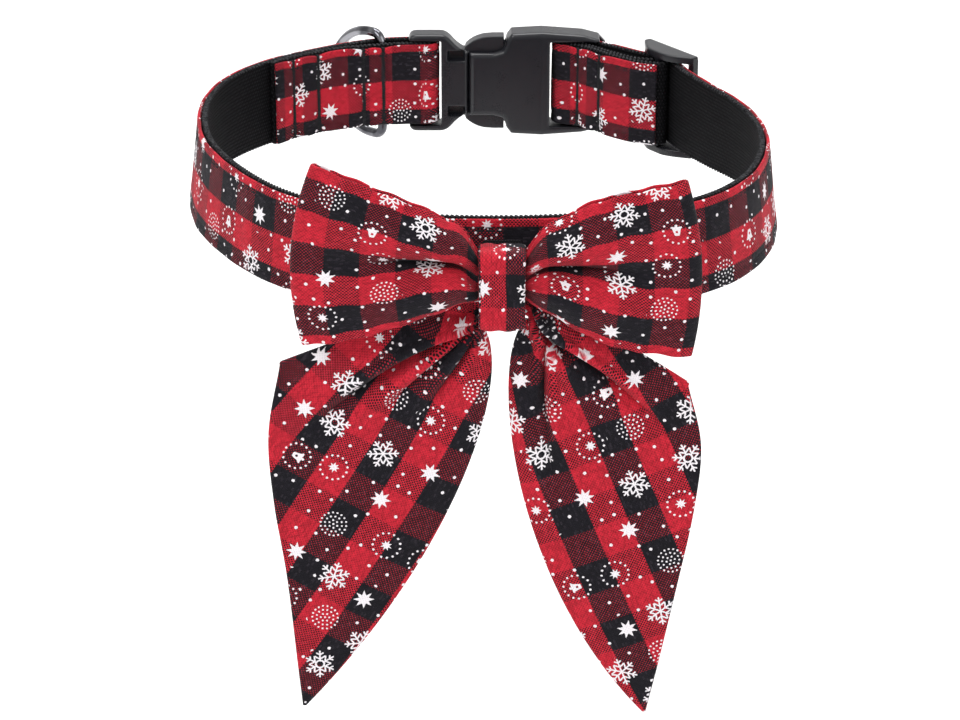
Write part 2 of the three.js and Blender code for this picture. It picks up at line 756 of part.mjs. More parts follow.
const loop = new THREE.Group();
loop.add(piece("strap_webbing", strapWebbing, LOOKS.webbing));
loop.add(piece("strap_cover", strapCover, LOOKS.check));

const buckle = new THREE.Group();
buckle.add(piece("buckle_prong_half", geometryOf(prongHalf()), LOOKS.plastic));
buckle.add(piece("buckle_socket_half", geometryOf(socketHalf()), LOOKS.plastic));

const hardware = new THREE.Group();
hardware.add(piece("strap_slider", slider(), LOOKS.plastic));
hardware.add(piece("leash_ring", leashRing(), LOOKS.steel));

const bow = new THREE.Group();
bow.add(piece("bow_loop", bowLoop(), LOOKS.check));
bow.add(piece("bow_tail_left", cloth(tailSurface(TAILS.left), 20, 15, TAILS.thick), LOOKS.check));
bow.add(piece("bow_tail_right", cloth(tailSurface(TAILS.right), 20, 15, TAILS.thick), LOOKS.check));
bow.add(piece("bow_knot", knot(), LOOKS.check));
const pad = new THREE.BoxGeometry(PAD.width, PAD.back - PAD.front, PAD.height);
pad.translate((BOW.knotLeft + BOW.knotRight) / 2, (PAD.back + PAD.front) / 2, 0);
bow.add(piece("bow_pad", pad, LOOKS.webbing));

const collar = new THREE.Group();
collar.add(loop, buckle, hardware, bow);

export default collar;
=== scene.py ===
"""A pet collar with a sailor bow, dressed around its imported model.

Every size is in millimetres until a mesh is made, where it becomes metres in the model's frame:
+Z is up, -Y is the front with the bow and the origin is the middle of the neck space.
"""

import logging
import math
from collections.abc import Sequence
from dataclasses import dataclass, field
from enum import Enum

import bmesh
import bpy
import numpy as np
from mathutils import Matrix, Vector


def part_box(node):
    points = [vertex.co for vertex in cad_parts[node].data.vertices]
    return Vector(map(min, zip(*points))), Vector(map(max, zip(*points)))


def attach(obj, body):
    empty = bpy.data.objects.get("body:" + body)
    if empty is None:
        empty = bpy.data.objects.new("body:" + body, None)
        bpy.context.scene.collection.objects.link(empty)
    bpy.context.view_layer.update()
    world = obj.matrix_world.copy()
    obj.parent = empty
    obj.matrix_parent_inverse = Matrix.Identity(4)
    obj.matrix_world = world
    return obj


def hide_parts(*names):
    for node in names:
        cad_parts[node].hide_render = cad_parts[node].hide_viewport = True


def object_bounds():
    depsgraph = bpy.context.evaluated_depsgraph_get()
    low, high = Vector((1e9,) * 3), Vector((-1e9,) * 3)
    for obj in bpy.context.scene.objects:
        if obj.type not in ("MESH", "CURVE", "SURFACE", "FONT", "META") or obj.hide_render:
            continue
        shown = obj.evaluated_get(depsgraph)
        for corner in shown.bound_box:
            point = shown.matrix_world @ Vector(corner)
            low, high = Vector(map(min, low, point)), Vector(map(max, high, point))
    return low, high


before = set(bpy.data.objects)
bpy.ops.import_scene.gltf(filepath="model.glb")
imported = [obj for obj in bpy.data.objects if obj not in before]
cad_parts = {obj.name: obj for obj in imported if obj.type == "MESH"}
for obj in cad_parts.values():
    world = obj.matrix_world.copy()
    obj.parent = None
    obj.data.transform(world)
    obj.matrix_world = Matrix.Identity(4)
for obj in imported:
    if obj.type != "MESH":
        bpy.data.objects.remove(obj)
CAD_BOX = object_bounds()

LOG = logging.getLogger("collar")
MM = 0.001
CLOTH_UV = "cloth"
CRUSHED = "crushed"
BODY = "collar"
RING_BODY = "leash_ring"
TINY = 1e-6
# The print fades away as the cloth's longest stretch goes from 1.9 to 2.9 times its shortest.
PRINT_FADES = (1.9, 2.9)

Numbers = np.ndarray
Colour = tuple[float, float, float]


# ---- Curves and tables -----------------------------------------------------------------------


def spaced(points: Numbers, step: float) -> Numbers:
    """Walks a line in steps of even length.

    Args:
        points: the line's points, one a row.
        step: the length of a step.

    Returns:
        The evenly spaced points, ends included.
    """
    along = lengths(points)
    count = max(2, int(math.ceil(along[-1] / step)) + 1)
    at = np.linspace(0, along[-1], count)
    return np.stack([np.interp(at, along, points[:, k]) for k in range(points.shape[1])], axis=1)


def lengths(points: Numbers) -> Numbers:
    """The distance from a line's start to each of its points."""
    steps = np.linalg.norm(np.diff(points, axis=0), axis=1)
    return np.concatenate([[0.0], np.cumsum(steps)])


def through(points: Sequence[Sequence[float]], step: float = 0.5) -> Numbers:
    """Draws a centripetal Catmull-Rom curve.

    Args:
        points: what the curve passes through.
        step: the distance between the points returned.

    Returns:
        Evenly spaced points of the curve.
    """
    given = np.array(points, float)
    padded = np.vstack([2 * given[0] - given[1], given, 2 * given[-1] - given[-2]])
    t = np.linspace(0, 1, 24, endpoint=False)[:, None]
    drawn = []
    for i in range(1, len(padded) - 2):
        p0, p1, p2, p3 = padded[i - 1 : i + 3]
        d0, d1, d2 = (math.sqrt(np.linalg.norm(b - a)) for a, b in ((p0, p1), (p1, p2), (p2, p3)))
        leave = ((p1 - p0) / d0 - (p2 - p0) / (d0 + d1) + (p2 - p1) / d1) * d1
        arrive = ((p2 - p1) / d1 - (p3 - p1) / (d1 + d2) + (p3 - p2) / d2) * d1
        square = 3 * p2 - 3 * p1 - 2 * leave - arrive
        cube = 2 * p1 - 2 * p2 + leave + arrive
        drawn.append(p1 + leave * t + square * t**2 + cube * t**3)
    return spaced(np.vstack([*drawn, given[-1:]]), step)


def column(shares: Sequence[float], values: Sequence[float], at: Numbers) -> Numbers:
    """Reads a table's column between its rows, smoothly.

    Args:
        shares: where the rows are, rising.
        values: the column.
        at: where to read it.

    Returns:
        The column's value at each place.
    """
    s, v = np.array(shares, float), np.array(values, float)
    low = np.maximum(np.arange(len(s)) - 1, 0)
    high = np.minimum(np.arange(len(s)) + 1, len(s) - 1)
    slope = (v[high] - v[low]) / (s[high] - s[low])
    i = np.clip(np.searchsorted(s, at) - 1, 0, len(s) - 2)
    span = s[i + 1] - s[i]
    t = (np.clip(at, s[0], s[-1]) - s[i]) / span
    start = (2 * t**3 - 3 * t**2 + 1) * v[i] + (t**3 - 2 * t**2 + t) * span * slope[i]
    return start + (3 * t**2 - 2 * t**3) * v[i + 1] + (t**3 - t**2) * span * slope[i + 1]


def pairs(first: Numbers, second: Numbers) -> Numbers:
    """Joins two grids of numbers into a grid of pairs, repeating either where it is short."""
    return np.stack(np.broadcast_arrays(first, second), axis=-1)


def smoothstep(low: float, high: float, value: Numbers) -> Numbers:
    """Rises smoothly from 0 at low to 1 at high."""
    t = np.clip((value - low) / (high - low), 0, 1)
    return t * t * (3 - 2 * t)


def arc(centre: Sequence[float], radius: float, start: float, end: float) -> Numbers:
    """Draws an arc in plan.

    Args:
        centre: its centre.
        radius: its radius.
        start: the bearing it starts at, in degrees.
        end: the bearing it ends at.

    Returns:
        Points of the arc.
    """
    bearing = np.radians(np.linspace(start, end, 28))
    return np.array(centre, float) + radius * np.stack([np.cos(bearing), np.sin(bearing)], axis=1)


def around(points: Numbers) -> Numbers:
    """The change from row to row, where the last row is followed by the first."""
    return np.gradient(np.concatenate([points[-1:], points, points[:1]]), axis=0)[1:-1]


def unit(vectors: Numbers) -> Numbers:
    """The vectors, each of length one."""
    return vectors / np.maximum(np.linalg.norm(vectors, axis=-1, keepdims=True), 1e-9)


# ---- Meshes ----------------------------------------------------------------------------------


def link(name: str, data: bpy.types.ID) -> bpy.types.Object:
    """Puts a mesh, a light or a camera in the scene as an object of its own.

    Args:
        name: the object's name.
        data: the mesh, light or camera.

    Returns:
        The object.
    """
    piece = bpy.data.objects.new(name, data)
    bpy.context.scene.collection.objects.link(piece)
    return piece


def turned(vectors: Numbers, angle: "Numbers | float") -> Numbers:
    """Turns flat vectors by an angle."""
    x, y, cos, sin = vectors[..., 0], vectors[..., 1], np.cos(angle), np.sin(angle)
    return np.stack([x * cos - y * sin, x * sin + y * cos], axis=-1)


def spread(cells: Numbers, axis: int) -> Numbers:
    """Gives each edge the sum of the cells on its two sides.

    Args:
        cells: a value for each cell.
        axis: the axis along which the cells lie side by side.

    Returns:
        A value for each edge, one more along the axis.
    """
    after = [(0, int(k == axis)) for k in range(cells.ndim)]
    before = [(end, start) for start, end in after]
    return np.pad(cells, after) + np.pad(cells, before)


def middles(values: Numbers) -> tuple[Numbers, Numbers]:
    """Finds how a grid of values changes over each of its cells.

    Args:
        values: rows by columns of points.

    Returns:
        The change from row to row and from column to column, in the middle of each cell.
    """
    down, over = np.diff(values, axis=0), np.diff(values, axis=1)
    return (down[:, :-1] + down[:, 1:]) / 2, (over[:-1] + over[1:]) / 2


def unrolled(points: Numbers, start: Numbers, rounds: int = 40) -> Numbers:
    """Lays a curved sheet flat with as little stretch as its shape allows.

    Args:
        points: rows by columns of points on the sheet.
        start: a first guess of each point's place on the flat cloth.
        rounds: how many times the cloth is turned and eased.

    Returns:
        The place of each point, lined up with the first guess in the last rows and columns.
    """
    a, b = middles(points)
    long = np.linalg.norm(a, axis=2)
    lean = (a * b).sum(axis=2) / long
    wide = np.sqrt(np.maximum((b * b).sum(axis=2) - lean**2, TINY / 100))
    first = np.stack([long, 0 * long], axis=-1)
    second = np.stack([lean, -wide], axis=-1)
    pull = (wide / long, long / wide)
    rows, cols = points.shape[:2]
    number = np.arange(rows * cols).reshape(rows, cols)
    ends = ((number[:-1], number[1:]), (number[:, :-1], number[:, 1:]))
    stiff = np.eye(rows * cols) * TINY
    for k in range(2):
        near, far = (e.ravel() for e in ends[k])
        held = spread(pull[k], 1 - k).ravel()
        np.add.at(stiff, (near, near), held)
        np.add.at(stiff, (far, far), held)
        np.add.at(stiff, (near, far), -held)
        np.add.at(stiff, (far, near), -held)
    eased = np.linalg.inv(stiff)
    flat = start.copy()
    for _ in range(rounds):
        down, over = middles(flat)
        moments = [
            pull[0] * down[..., i] * first[..., j] + pull[1] * over[..., i] * second[..., j]
            for i in range(2)
            for j in range(2)
        ]
        angle = np.arctan2(moments[2] - moments[1], moments[0] + moments[3])
        force = TINY * flat.reshape(-1, 2)
        for k, edge in enumerate((first, second)):
            wanted = spread(turned(edge, angle) * pull[k][..., None], 1 - k).reshape(-1, 2)
            np.add.at(force, ends[k][1].ravel(), wanted)
            np.add.at(force, ends[k][0].ravel(), -wanted)
        flat = (eased @ force).reshape(rows, cols, 2)
    here, there = (w[rows // 2 :, cols * 3 // 4 :].reshape(-1, 2) for w in (flat, start))
    mean, goal = here.mean(axis=0), there.mean(axis=0)
    cross = (here - mean).T @ (there - goal)
    angle = math.atan2(cross[0, 1] - cross[1, 0], cross[0, 0] + cross[1, 1])
    return turned(flat - mean, angle) + goal


def crushed(points: Numbers, uv: Numbers) -> Numbers:
    """Finds where a gather squeezes the cloth, so that no print is readable on it.

    Args:
        points: rows by columns of points.
        uv: the place on the cloth at each of them.

    Returns:
        0 where the cloth lies at its own size and 1 where it is squeezed or drawn out.
    """
    edges = np.stack(np.gradient(points, axis=(0, 1)), axis=-1)
    flat = np.stack(np.gradient(uv, axis=(0, 1)), axis=-1)
    known = np.abs(np.linalg.det(flat)) > 100 * TINY
    flat[~known] = np.eye(2)
    pull = np.linalg.svd(edges @ np.linalg.inv(flat), compute_uv=False)
    uneven = pull[..., 0] / np.maximum(pull[..., 1], TINY)
    return np.where(known, smoothstep(*PRINT_FADES, uneven), 0.0)


def woven_mesh(
    name: str, points: Numbers, uv: Numbers, closed: tuple[bool, bool]
) -> bpy.types.Object:
    """Joins a grid of points into a smooth mesh whose UV map is in millimetres of cloth.

    Args:
        name: the piece's name.
        points: rows by columns of points.
        uv: a place on the cloth for each corner, with one more row or column where the grid closes.
        closed: whether the rows close, and whether the columns do.

    Returns:
        The object.
    """
    rows, cols = points.shape[:2]
    i, k = np.meshgrid(
        np.arange(rows if closed[0] else rows - 1),
        np.arange(cols if closed[1] else cols - 1),
        indexing="ij",
    )
    corners = [(i, k), (i + 1, k), (i + 1, k + 1), (i, k + 1)]
    faces = np.stack([(a % rows) * cols + b % cols for a, b in corners], axis=-1).reshape(-1, 4)
    places = np.stack([uv[a, b] for a, b in corners], axis=-2).reshape(-1, 2)
    mesh = bpy.data.meshes.new(name)
    mesh.from_pydata((points.reshape(-1, 3) * MM).tolist(), [], faces.tolist())
    mesh.uv_layers.new(name=CLOTH_UV).data.foreach_set("uv", places.astype(np.float32).ravel())
    squeeze = crushed(points, uv[:rows, :cols]).astype(np.float32)
    mesh.attributes.new(CRUSHED, "FLOAT", "POINT").data.foreach_set("value", squeeze.ravel())
    return finished(link(name, mesh))


def finished(piece: bpy.types.Object) -> bpy.types.Object:
    """Merges a piece's doubled points, turns its faces out and shades it smooth.

    Args:
        piece: the piece, which is changed.

    Returns:
        The same piece.
    """
    shape = bmesh.new()
    shape.from_mesh(piece.data)
    bmesh.ops.remove_doubles(shape, verts=shape.verts, dist=1e-7)
    bmesh.ops.dissolve_degenerate(shape, edges=shape.edges, dist=1e-8)
    bmesh.ops.recalc_face_normals(shape, faces=shape.faces)
    for face in shape.faces:
        face.smooth = True
    shape.to_mesh(piece.data)
    shape.free()
    return piece


def settled(piece: bpy.types.Object) -> None:
    """Turns a piece's modifiers into one plain smooth mesh.

    Args:
        piece: the piece, which is changed.
    """
    seen = piece.evaluated_get(bpy.context.evaluated_depsgraph_get())
    mesh = bpy.data.meshes.new_from_object(seen)
    mesh.name = piece.name
    piece.modifiers.clear()
    piece.data = mesh
    for face in mesh.polygons:
        face.use_smooth = True


@dataclass
class Sheet:
    """Cloth of a given thickness on a middle surface, with round edges all the way round.

    Its rows run along the weft and its columns across it. The cloth goes on round its edges, or
    both faces are alike, each with its print in the same place.
    """

    name: str
    middle: Numbers
    uv: Numbers
    thick: float
    closed: bool = False
    alike: bool = False
    rim: int = 5
    join: float = 0.3

    def sides(self) -> tuple[Numbers, Numbers, Numbers]:
        """Finds the sheet's directions.

        Returns:
            The unit normal, the direction along and the direction across at each point.
        """
        along = around(self.middle) if self.closed else np.gradient(self.middle, axis=0)
        across = np.gradient(self.middle, axis=1)
        normal = unit(np.cross(unit(along), unit(across)))
        return normal, unit(along), unit(np.cross(normal, unit(along)))

    def section(self, flat: float, shift: float) -> tuple[Numbers, Numbers]:
        """Makes the closed sections round the sheet.

        Args:
            flat: the share of the thickness that is kept.
            shift: how far the section moves along the sheet.

        Returns:
            The points of every section, and their places on the cloth.
        """
        normal, along, across = self.sides()
        half = self.thick / 2
        base = self.middle + along * shift
        turns = np.linspace(0, math.pi, self.rim + 2)[1:-1]
        far, near = [], []
        for turn in turns:
            out, up = half * flat * math.sin(turn), half * flat * math.cos(turn)
            far.append(base[:, -1] + across[:, -1] * out + normal[:, -1] * up)
            near.append(base[:, 0] - across[:, 0] * out - normal[:, 0] * up)
        lift = normal * half * flat
        ring = [base + lift, np.stack(far, axis=1), (base - lift)[:, ::-1], np.stack(near, axis=1)]
        round_edge = np.array([half * turn for turn in turns])
        first, last = self.uv[:, :1, 1], self.uv[:, -1:, 1]
        if self.alike:
            over = np.minimum(round_edge, round_edge[::-1])
            rows = [self.uv[..., 1], last - over, self.uv[:, ::-1, 1], first + over, first]
        else:
            back = 2 * last + half * math.pi - self.uv[:, ::-1, 1]
            end = back[:, -1:] + round_edge
            rows = [self.uv[..., 1], last + round_edge, back, end, end[:, -1:] + half * self.join]
        places = np.concatenate(rows, axis=1)
        far_x = np.repeat(self.uv[:, -1:, 0], len(turns), axis=1)
        near_x = np.repeat(self.uv[:, :1, 0], len(turns) + 1, axis=1)
        stations = np.concatenate([self.uv[..., 0], far_x, self.uv[:, ::-1, 0], near_x], axis=1)
        return np.concatenate(ring, axis=1), np.stack([stations + shift, places], axis=-1)

    def build(self) -> bpy.types.Object:
        """Makes the sheet's closed mesh.

        Returns:
            The sheet.
        """
        points, places = self.section(1, 0)
        if self.closed:
            places = np.concatenate([places, 2 * places[-1:] - places[-2:-1]])
            return woven_mesh(self.name, points, places, (True, True))
        half = self.thick / 2
        head, tail = [], []
        for turn in np.radians([90, 60, 30]):
            flat, shift = math.cos(turn), half * math.sin(turn)
            for kept, row, way in ((head, 0, -1), (tail, -1, 1)):
                ring, place = self.section(max(flat, TINY), way * shift)
                kept.append((ring[row], place[row]))
        rings = [r for r, _ in head] + list(points) + [r for r, _ in reversed(tail)]
        spots = [p for _, p in head] + list(places) + [p for _, p in reversed(tail)]
        return woven_mesh(self.name, np.stack(rings), np.stack(spots), (False, True))


def flat_cut(places: Numbers) -> tuple[Numbers, float]:
    """Measures a piece of cloth laid flat.

    Args:
        places: rows by columns of places on the cloth.

    Returns:
        Its size along the weft and across it, and its area.
    """
    size = places.reshape(-1, 2).max(axis=0) - places.reshape(-1, 2).min(axis=0)
    along, across = np.diff(places, axis=0)[:, :-1], np.diff(places, axis=1)[:-1]
    area = np.abs(along[..., 0] * across[..., 1] - along[..., 1] * across[..., 0]).sum()
    return size, float(area)


# ---- Shader expressions ----------------------------------------------------------------------


class Wire:
    """A number that varies over a surface, used in ordinary arithmetic."""

    def __init__(self, tree: "Finish", socket: bpy.types.NodeSocket) -> None:
        """Keeps the socket that the number comes from.

        Args:
            tree: the material that the number belongs to.
            socket: the socket.
        """
        self.tree = tree
        self.socket = socket

    def _with(self, operation: str, *others: "Wire | float") -> "Wire":
        """This number put through a Math node with others."""
        return self.tree.maths(operation, self, *others)

    def __add__(self, other: "Wire | float") -> "Wire":
        """The sum."""
        return self._with("ADD", other)

    def __sub__(self, other: "Wire | float") -> "Wire":
        """The difference."""
        return self._with("SUBTRACT", other)

    def __rsub__(self, other: float) -> "Wire":
        """The difference the other way round."""
        return self.tree.maths("SUBTRACT", other, self)

    def __mul__(self, other: "Wire | float") -> "Wire":
        """The product."""
        return self._with("MULTIPLY", other)

    def __truediv__(self, other: "Wire | float") -> "Wire":
        """The quotient."""
        return self._with("DIVIDE", other)

    def __rtruediv__(self, other: float) -> "Wire":
        """The quotient the other way round."""
        return self.tree.maths("DIVIDE", other, self)

    def __lt__(self, other: "Wire | float") -> "Wire":
        """1 where this is less."""
        return self._with("LESS_THAN", other)

    def __gt__(self, other: "Wire | float") -> "Wire":
        """1 where this is more."""
        return self._with("GREATER_THAN", other)

    __radd__ = __add__
    __rmul__ = __mul__

    def floor(self) -> "Wire":
        """The whole part."""
        return self._with("FLOOR")

    def fract(self) -> "Wire":
        """What is over the whole part."""
        return self._with("FRACT")

    def size(self) -> "Wire":
        """The number without its sign."""
        return self._with("ABSOLUTE")

    def root(self) -> "Wire":
        """The square root."""
        return self._with("SQRT")

    def cos(self) -> "Wire":
        """The cosine."""
        return self._with("COSINE")

    def sin(self) -> "Wire":
        """The sine."""
        return self._with("SINE")

    def least(self, other: "Wire | float") -> "Wire":
        """The smaller of two."""
        return self._with("MINIMUM", other)

    def most(self, other: "Wire | float") -> "Wire":
        """The larger of two."""
        return self._with("MAXIMUM", other)

    def ease(self, low: float, high: float) -> "Wire":
        """A smooth step.

        Args:
            low: where it is 0.
            high: where it is 1.

        Returns:
            The step's height.
        """
        node = self.tree.node(
            "ShaderNodeMapRange",
            {"interpolation_type": "SMOOTHSTEP"},
            {"Value": self, "From Min": low, "From Max": high},
        )
        return Wire(self.tree, node.outputs["Result"])


class Finish:
    """A material's node tree, and the few ways in which its nodes are added."""

    def __init__(self, name: str) -> None:
        """Starts a material with nothing but its shader and output.

        Args:
            name: the material's name.
        """
        self.material = bpy.data.materials.new(name)
        self.material.use_nodes = True
        self.tree = self.material.node_tree
        self.tree.nodes.clear()
        self.shader = self.tree.nodes.new("ShaderNodeBsdfPrincipled")
        output = self.tree.nodes.new("ShaderNodeOutputMaterial")
        self.tree.links.new(self.shader.outputs["BSDF"], output.inputs["Surface"])

    def node(self, kind: str, settings: dict, inputs: dict) -> bpy.types.Node:
        """Adds a node.

        Args:
            kind: the node's type.
            settings: its own properties, set first.
            inputs: a value, Wire or socket for each named or numbered input.

        Returns:
            The node.
        """
        made = self.tree.nodes.new(kind)
        for key, value in settings.items():
            if key == "stops":
                self._stops(made.color_ramp, value)
            else:
                setattr(made, key, value)
        for key, value in inputs.items():
            self.feed(made.inputs[key], value)
        return made

    def _stops(self, ramp: bpy.types.ColorRamp, stops: Sequence[tuple[float, float]]) -> None:
        """Makes a ramp of flat steps.

        Args:
            ramp: the ramp.
            stops: where each step starts, and its grey value.
        """
        ramp.interpolation = "CONSTANT"
        while len(ramp.elements) < len(stops):
            ramp.elements.new(1.0)
        for element, (place, value) in zip(ramp.elements, stops):
            element.position = place
            element.color = (value, value, value, 1)

    def feed(self, socket: bpy.types.NodeSocket, value: object) -> None:
        """Links or sets one input.

        Args:
            socket: the input.
            value: what it is given.
        """
        if isinstance(value, Wire):
            self.tree.links.new(value.socket, socket)
        elif isinstance(value, bpy.types.NodeSocket):
            self.tree.links.new(value, socket)
        else:
            socket.default_value = value

    def maths(self, operation: str, *values: "Wire | float") -> Wire:
        """A Math node's result."""
        made = self.node("ShaderNodeMath", {"operation": operation}, dict(enumerate(values)))
        return Wire(self, made.outputs[0])

    def blend(self, share: Wire, first: object, second: object) -> bpy.types.NodeSocket:
        """Mixes two colours.

        Args:
            share: how much of the second colour shows.
            first: a colour or a socket.
            second: a colour or a socket.

        Returns:
            The mixed colour.
        """
        made = self.tree.nodes.new("ShaderNodeMix")
        made.data_type = "RGBA"
        self.feed(made.inputs["Factor"], share)
        for index, value in ((6, first), (7, second)):
            self.feed(made.inputs[index], (*value, 1) if isinstance(value, tuple) else value)
        return made.outputs[2]

    def place(self) -> bpy.types.NodeSocket:
        """The place on the piece, in metres."""
        return self.node("ShaderNodeTexCoord", {}, {}).outputs["Object"]

    def cloth_place(self) -> tuple[Wire, Wire]:
        """Finds the place on the cloth.

        Returns:
            The millimetres along the weft and across it.
        """
        place = self.node("ShaderNodeUVMap", {"uv_map": CLOTH_UV}, {})
        parts = self.node("ShaderNodeSeparateXYZ", {}, {"Vector": place.outputs["UV"]})
        return Wire(self, parts.outputs["X"]), Wire(self, parts.outputs["Y"])

    def vector(self, x: Wire, y: "Wire | float", z: "Wire | float" = 0.0) -> bpy.types.NodeSocket:
        """Three numbers as a vector."""
        return self.node("ShaderNodeCombineXYZ", {}, {"X": x, "Y": y, "Z": z}).outputs["Vector"]

    def noise(self, place: object, scale: float, detail: float = 2.0) -> Wire:
        """Soft noise between 0 and 1.

        Args:
            place: where it is read.
            scale: how many of its waves fit in one unit.
            detail: how much finer noise is laid over it.

        Returns:
            The noise.
        """
        inputs = {"Vector": place, "Scale": scale, "Detail": detail}
        made = self.node("ShaderNodeTexNoise", {}, inputs)
        return Wire(self, made.outputs["Fac"])

    def chance(self, x: Wire, y: "Wire | float", seed: float) -> Wire:
        """A number from 0 to 1 that is the same all over one cell.

        Args:
            x: the cell's column.
            y: its row.
            seed: which of the cell's numbers it is.

        Returns:
            The number.
        """
        place = self.vector(x, y, seed)
        made = self.node("ShaderNodeTexWhiteNoise", {"noise_dimensions": "3D"}, {"Vector": place})
        return Wire(self, made.outputs["Value"])

    def relief(self, height: Wire) -> None:
        """Raises the surface by a height in millimetres."""
        made = self.node("ShaderNodeBump", {}, {"Strength": 1.0, "Distance": MM, "Height": height})
        self.feed(self.shader.inputs["Normal"], made.outputs["Normal"])

    def set(self, **values: object) -> None:
        """Sets or links the shader's own sockets, named with _ for a space."""
        for key, value in values.items():
            self.feed(self.shader.inputs[key.replace("_", " ")], value)


class Motif(Enum):
    """What is printed in one cell of the cloth's pattern."""

    FLAKE = "F"
    RING_FLAKE = "G"
    STAR = "S"
    DOT_RING = "R"
    CLUSTER = "C"
    BELL = "B"
    NONE = "."


@dataclass(frozen=True)
class CheckedCotton:
    """Plain woven cotton in a two-colour check, with small white winter motifs printed on it."""

    red: Colour = (0.500, 0.0150, 0.031)
    black: Colour = (0.0068, 0.0058, 0.0092)
    lint: Colour = (0.075, 0.060, 0.075)
    ink: Colour = (0.80, 0.76, 0.79)
    square: float = 9.0
    yarn: float = 0.45
    cell: float = 13.0
    chart: tuple[str, ...] = ("FSRCBG", "CGS.RS", "BRFSCF", "SCGR.S", "RFSBGC")
    greys: int = 8
    reach: float = 4.3
    line: float = 0.21
    arm: float = 4.2
    branches: tuple[tuple[float, float], ...] = ((1.55, 1.75), (2.9, 1.15))
    branch_lean: float = 56.0
    hub: float = 1.1
    star: float = 2.75
    small_star: float = 1.55
    dot_ring: float = 3.55
    cluster_step: float = 1.12
    speck_cell: float = 5.6
    speck_stray: float = 3.4
    wander: float = 0.16
    fray: float = 0.22

    def folded(self, radius: Wire, angle: Wire, count: float) -> tuple[Wire, Wire]:
        """Folds the plane into one of many equal sectors.

        Args:
            radius: the distance from the motif's middle.
            angle: the bearing from it.
            count: how many sectors there are.

        Returns:
            The distance along the sector's middle line and the distance from that line.
        """
        sector = 2 * math.pi / count
        turned = (angle / sector).fract() * sector - sector / 2
        return radius * turned.cos(), (radius * turned.sin()).size()

    def branch(self, along: Wire, off: Wire, start: float, long: float) -> Wire:
        """One pair of a snowflake's branches.

        Args:
            along: the distance along the arm.
            off: the distance from the arm.
            start: where the branch leaves the arm.
            long: its length.

        Returns:
            1 on the branch.
        """
        lean = math.radians(self.branch_lean)
        ahead = along - start
        aside = (ahead * math.sin(lean) - off * math.cos(lean)).size()
        out = ahead * math.cos(lean) + off * math.sin(lean)
        return (aside < self.line) * (out < long) * (out > 0)

    def spiked(self, along: Wire, off: Wire, tip: float) -> Wire:
        """1 inside an eight-pointed star."""
        return off < (tip - along) * 0.33

    def motifs(self, made: Finish, x: Wire, y: Wire) -> tuple[Wire, Wire]:
        """Draws the larger motifs, one in each cell of a half-drop repeat.

        Args:
            made: the material's tree.
            x: the place along the weft.
            y: the place across it.

        Returns:
            1 on the ink, and the distance from the cell's motif.
        """
        col = (x / self.cell).floor()
        lift = (col / 2).fract()
        row = (y / self.cell + lift).floor()
        names = "".join(self.chart)
        wide, tall = len(self.chart[0]), len(self.chart)
        index = (col / wide).fract() * wide + (row / tall).fract() * tall * wide
        kinds = list(Motif)
        codes = [kinds.index(Motif(name)) / self.greys for name in names]
        stops = [(i / len(names), code) for i, code in enumerate(codes)]
        place = (index + 0.5) / len(names)
        ramp = made.node("ShaderNodeValToRGB", {"stops": stops}, {"Fac": place})
        kind = made.node("ShaderNodeSeparateColor", {}, {"Color": ramp.outputs["Color"]})
        code = Wire(made, kind.outputs[0]) * self.greys

        stray = self.cell - 2 * self.reach
        u = (x / self.cell - col - 0.5) * self.cell
        u = u - (made.chance(col, row, 1.0) - 0.5) * stray
        v = (y / self.cell + lift - row - 0.5) * self.cell
        v = v - (made.chance(col, row, 2.0) - 0.5) * stray
        radius = (u * u + v * v).root()
        angle = made.maths("ARCTAN2", v, u) + made.chance(col, row, 3.0) * 1.1 + 2 * math.pi

        along, off = self.folded(radius, angle, 6)
        flake = (off < self.line) * (along < self.arm)
        for start, long in self.branches:
            flake = flake.most(self.branch(along, off, start, long))
        hub = (radius - self.hub).size() < 0.24
        ring_flake = (flake * (radius > 0.85)).most(hub)
        along, off = self.folded(radius, angle, 8)
        star, small_star = (self.spiked(along, off, tip) for tip in (self.star, self.small_star))
        along, off = self.folded(radius, angle, 15)
        dots = ((along - self.dot_ring) * (along - self.dot_ring) + off * off) < 0.095
        step = (radius / self.cluster_step + 0.5).floor().most(1).least(3)
        sector = 2 * math.pi / 6 / step
        turned = ((angle / sector).fract() - 0.5) * sector
        near = radius * turned.cos() - step * self.cluster_step
        side = radius * turned.sin()
        cluster = ((near * near + side * side) < 0.07).most(radius < 0.27)
        drawn = {
            Motif.FLAKE: flake,
            Motif.RING_FLAKE: ring_flake,
            Motif.STAR: star,
            Motif.DOT_RING: dots.most(small_star),
            Motif.CLUSTER: cluster,
            Motif.BELL: dots.most(self.bell(u, v)),
        }
        ink = None
        for which, shape in drawn.items():
            chosen = shape * ((code - kinds.index(which)).size() < 0.5)
            ink = chosen if ink is None else ink + chosen
        return ink, radius

    def bell(self, u: Wire, v: Wire) -> Wire:
        """Draws a small plain bell.

        Args:
            u: the distance along the weft from its middle.
            v: the distance across it.

        Returns:
            1 on the bell.
        """
        body = (u.size() < 0.95 - v * 0.28) * (v < 1.2) * (v > -1.1)
        lip = (u.size() < 1.5) * ((v + 1.2).size() < 0.24)
        clapper = (u * u + (v + 1.75) * (v + 1.75)) < 0.14
        hole = (u * u + (v - 0.1) * (v - 0.1)) < 0.12
        return (body.most(lip).most(clapper)) * (1 - hole)

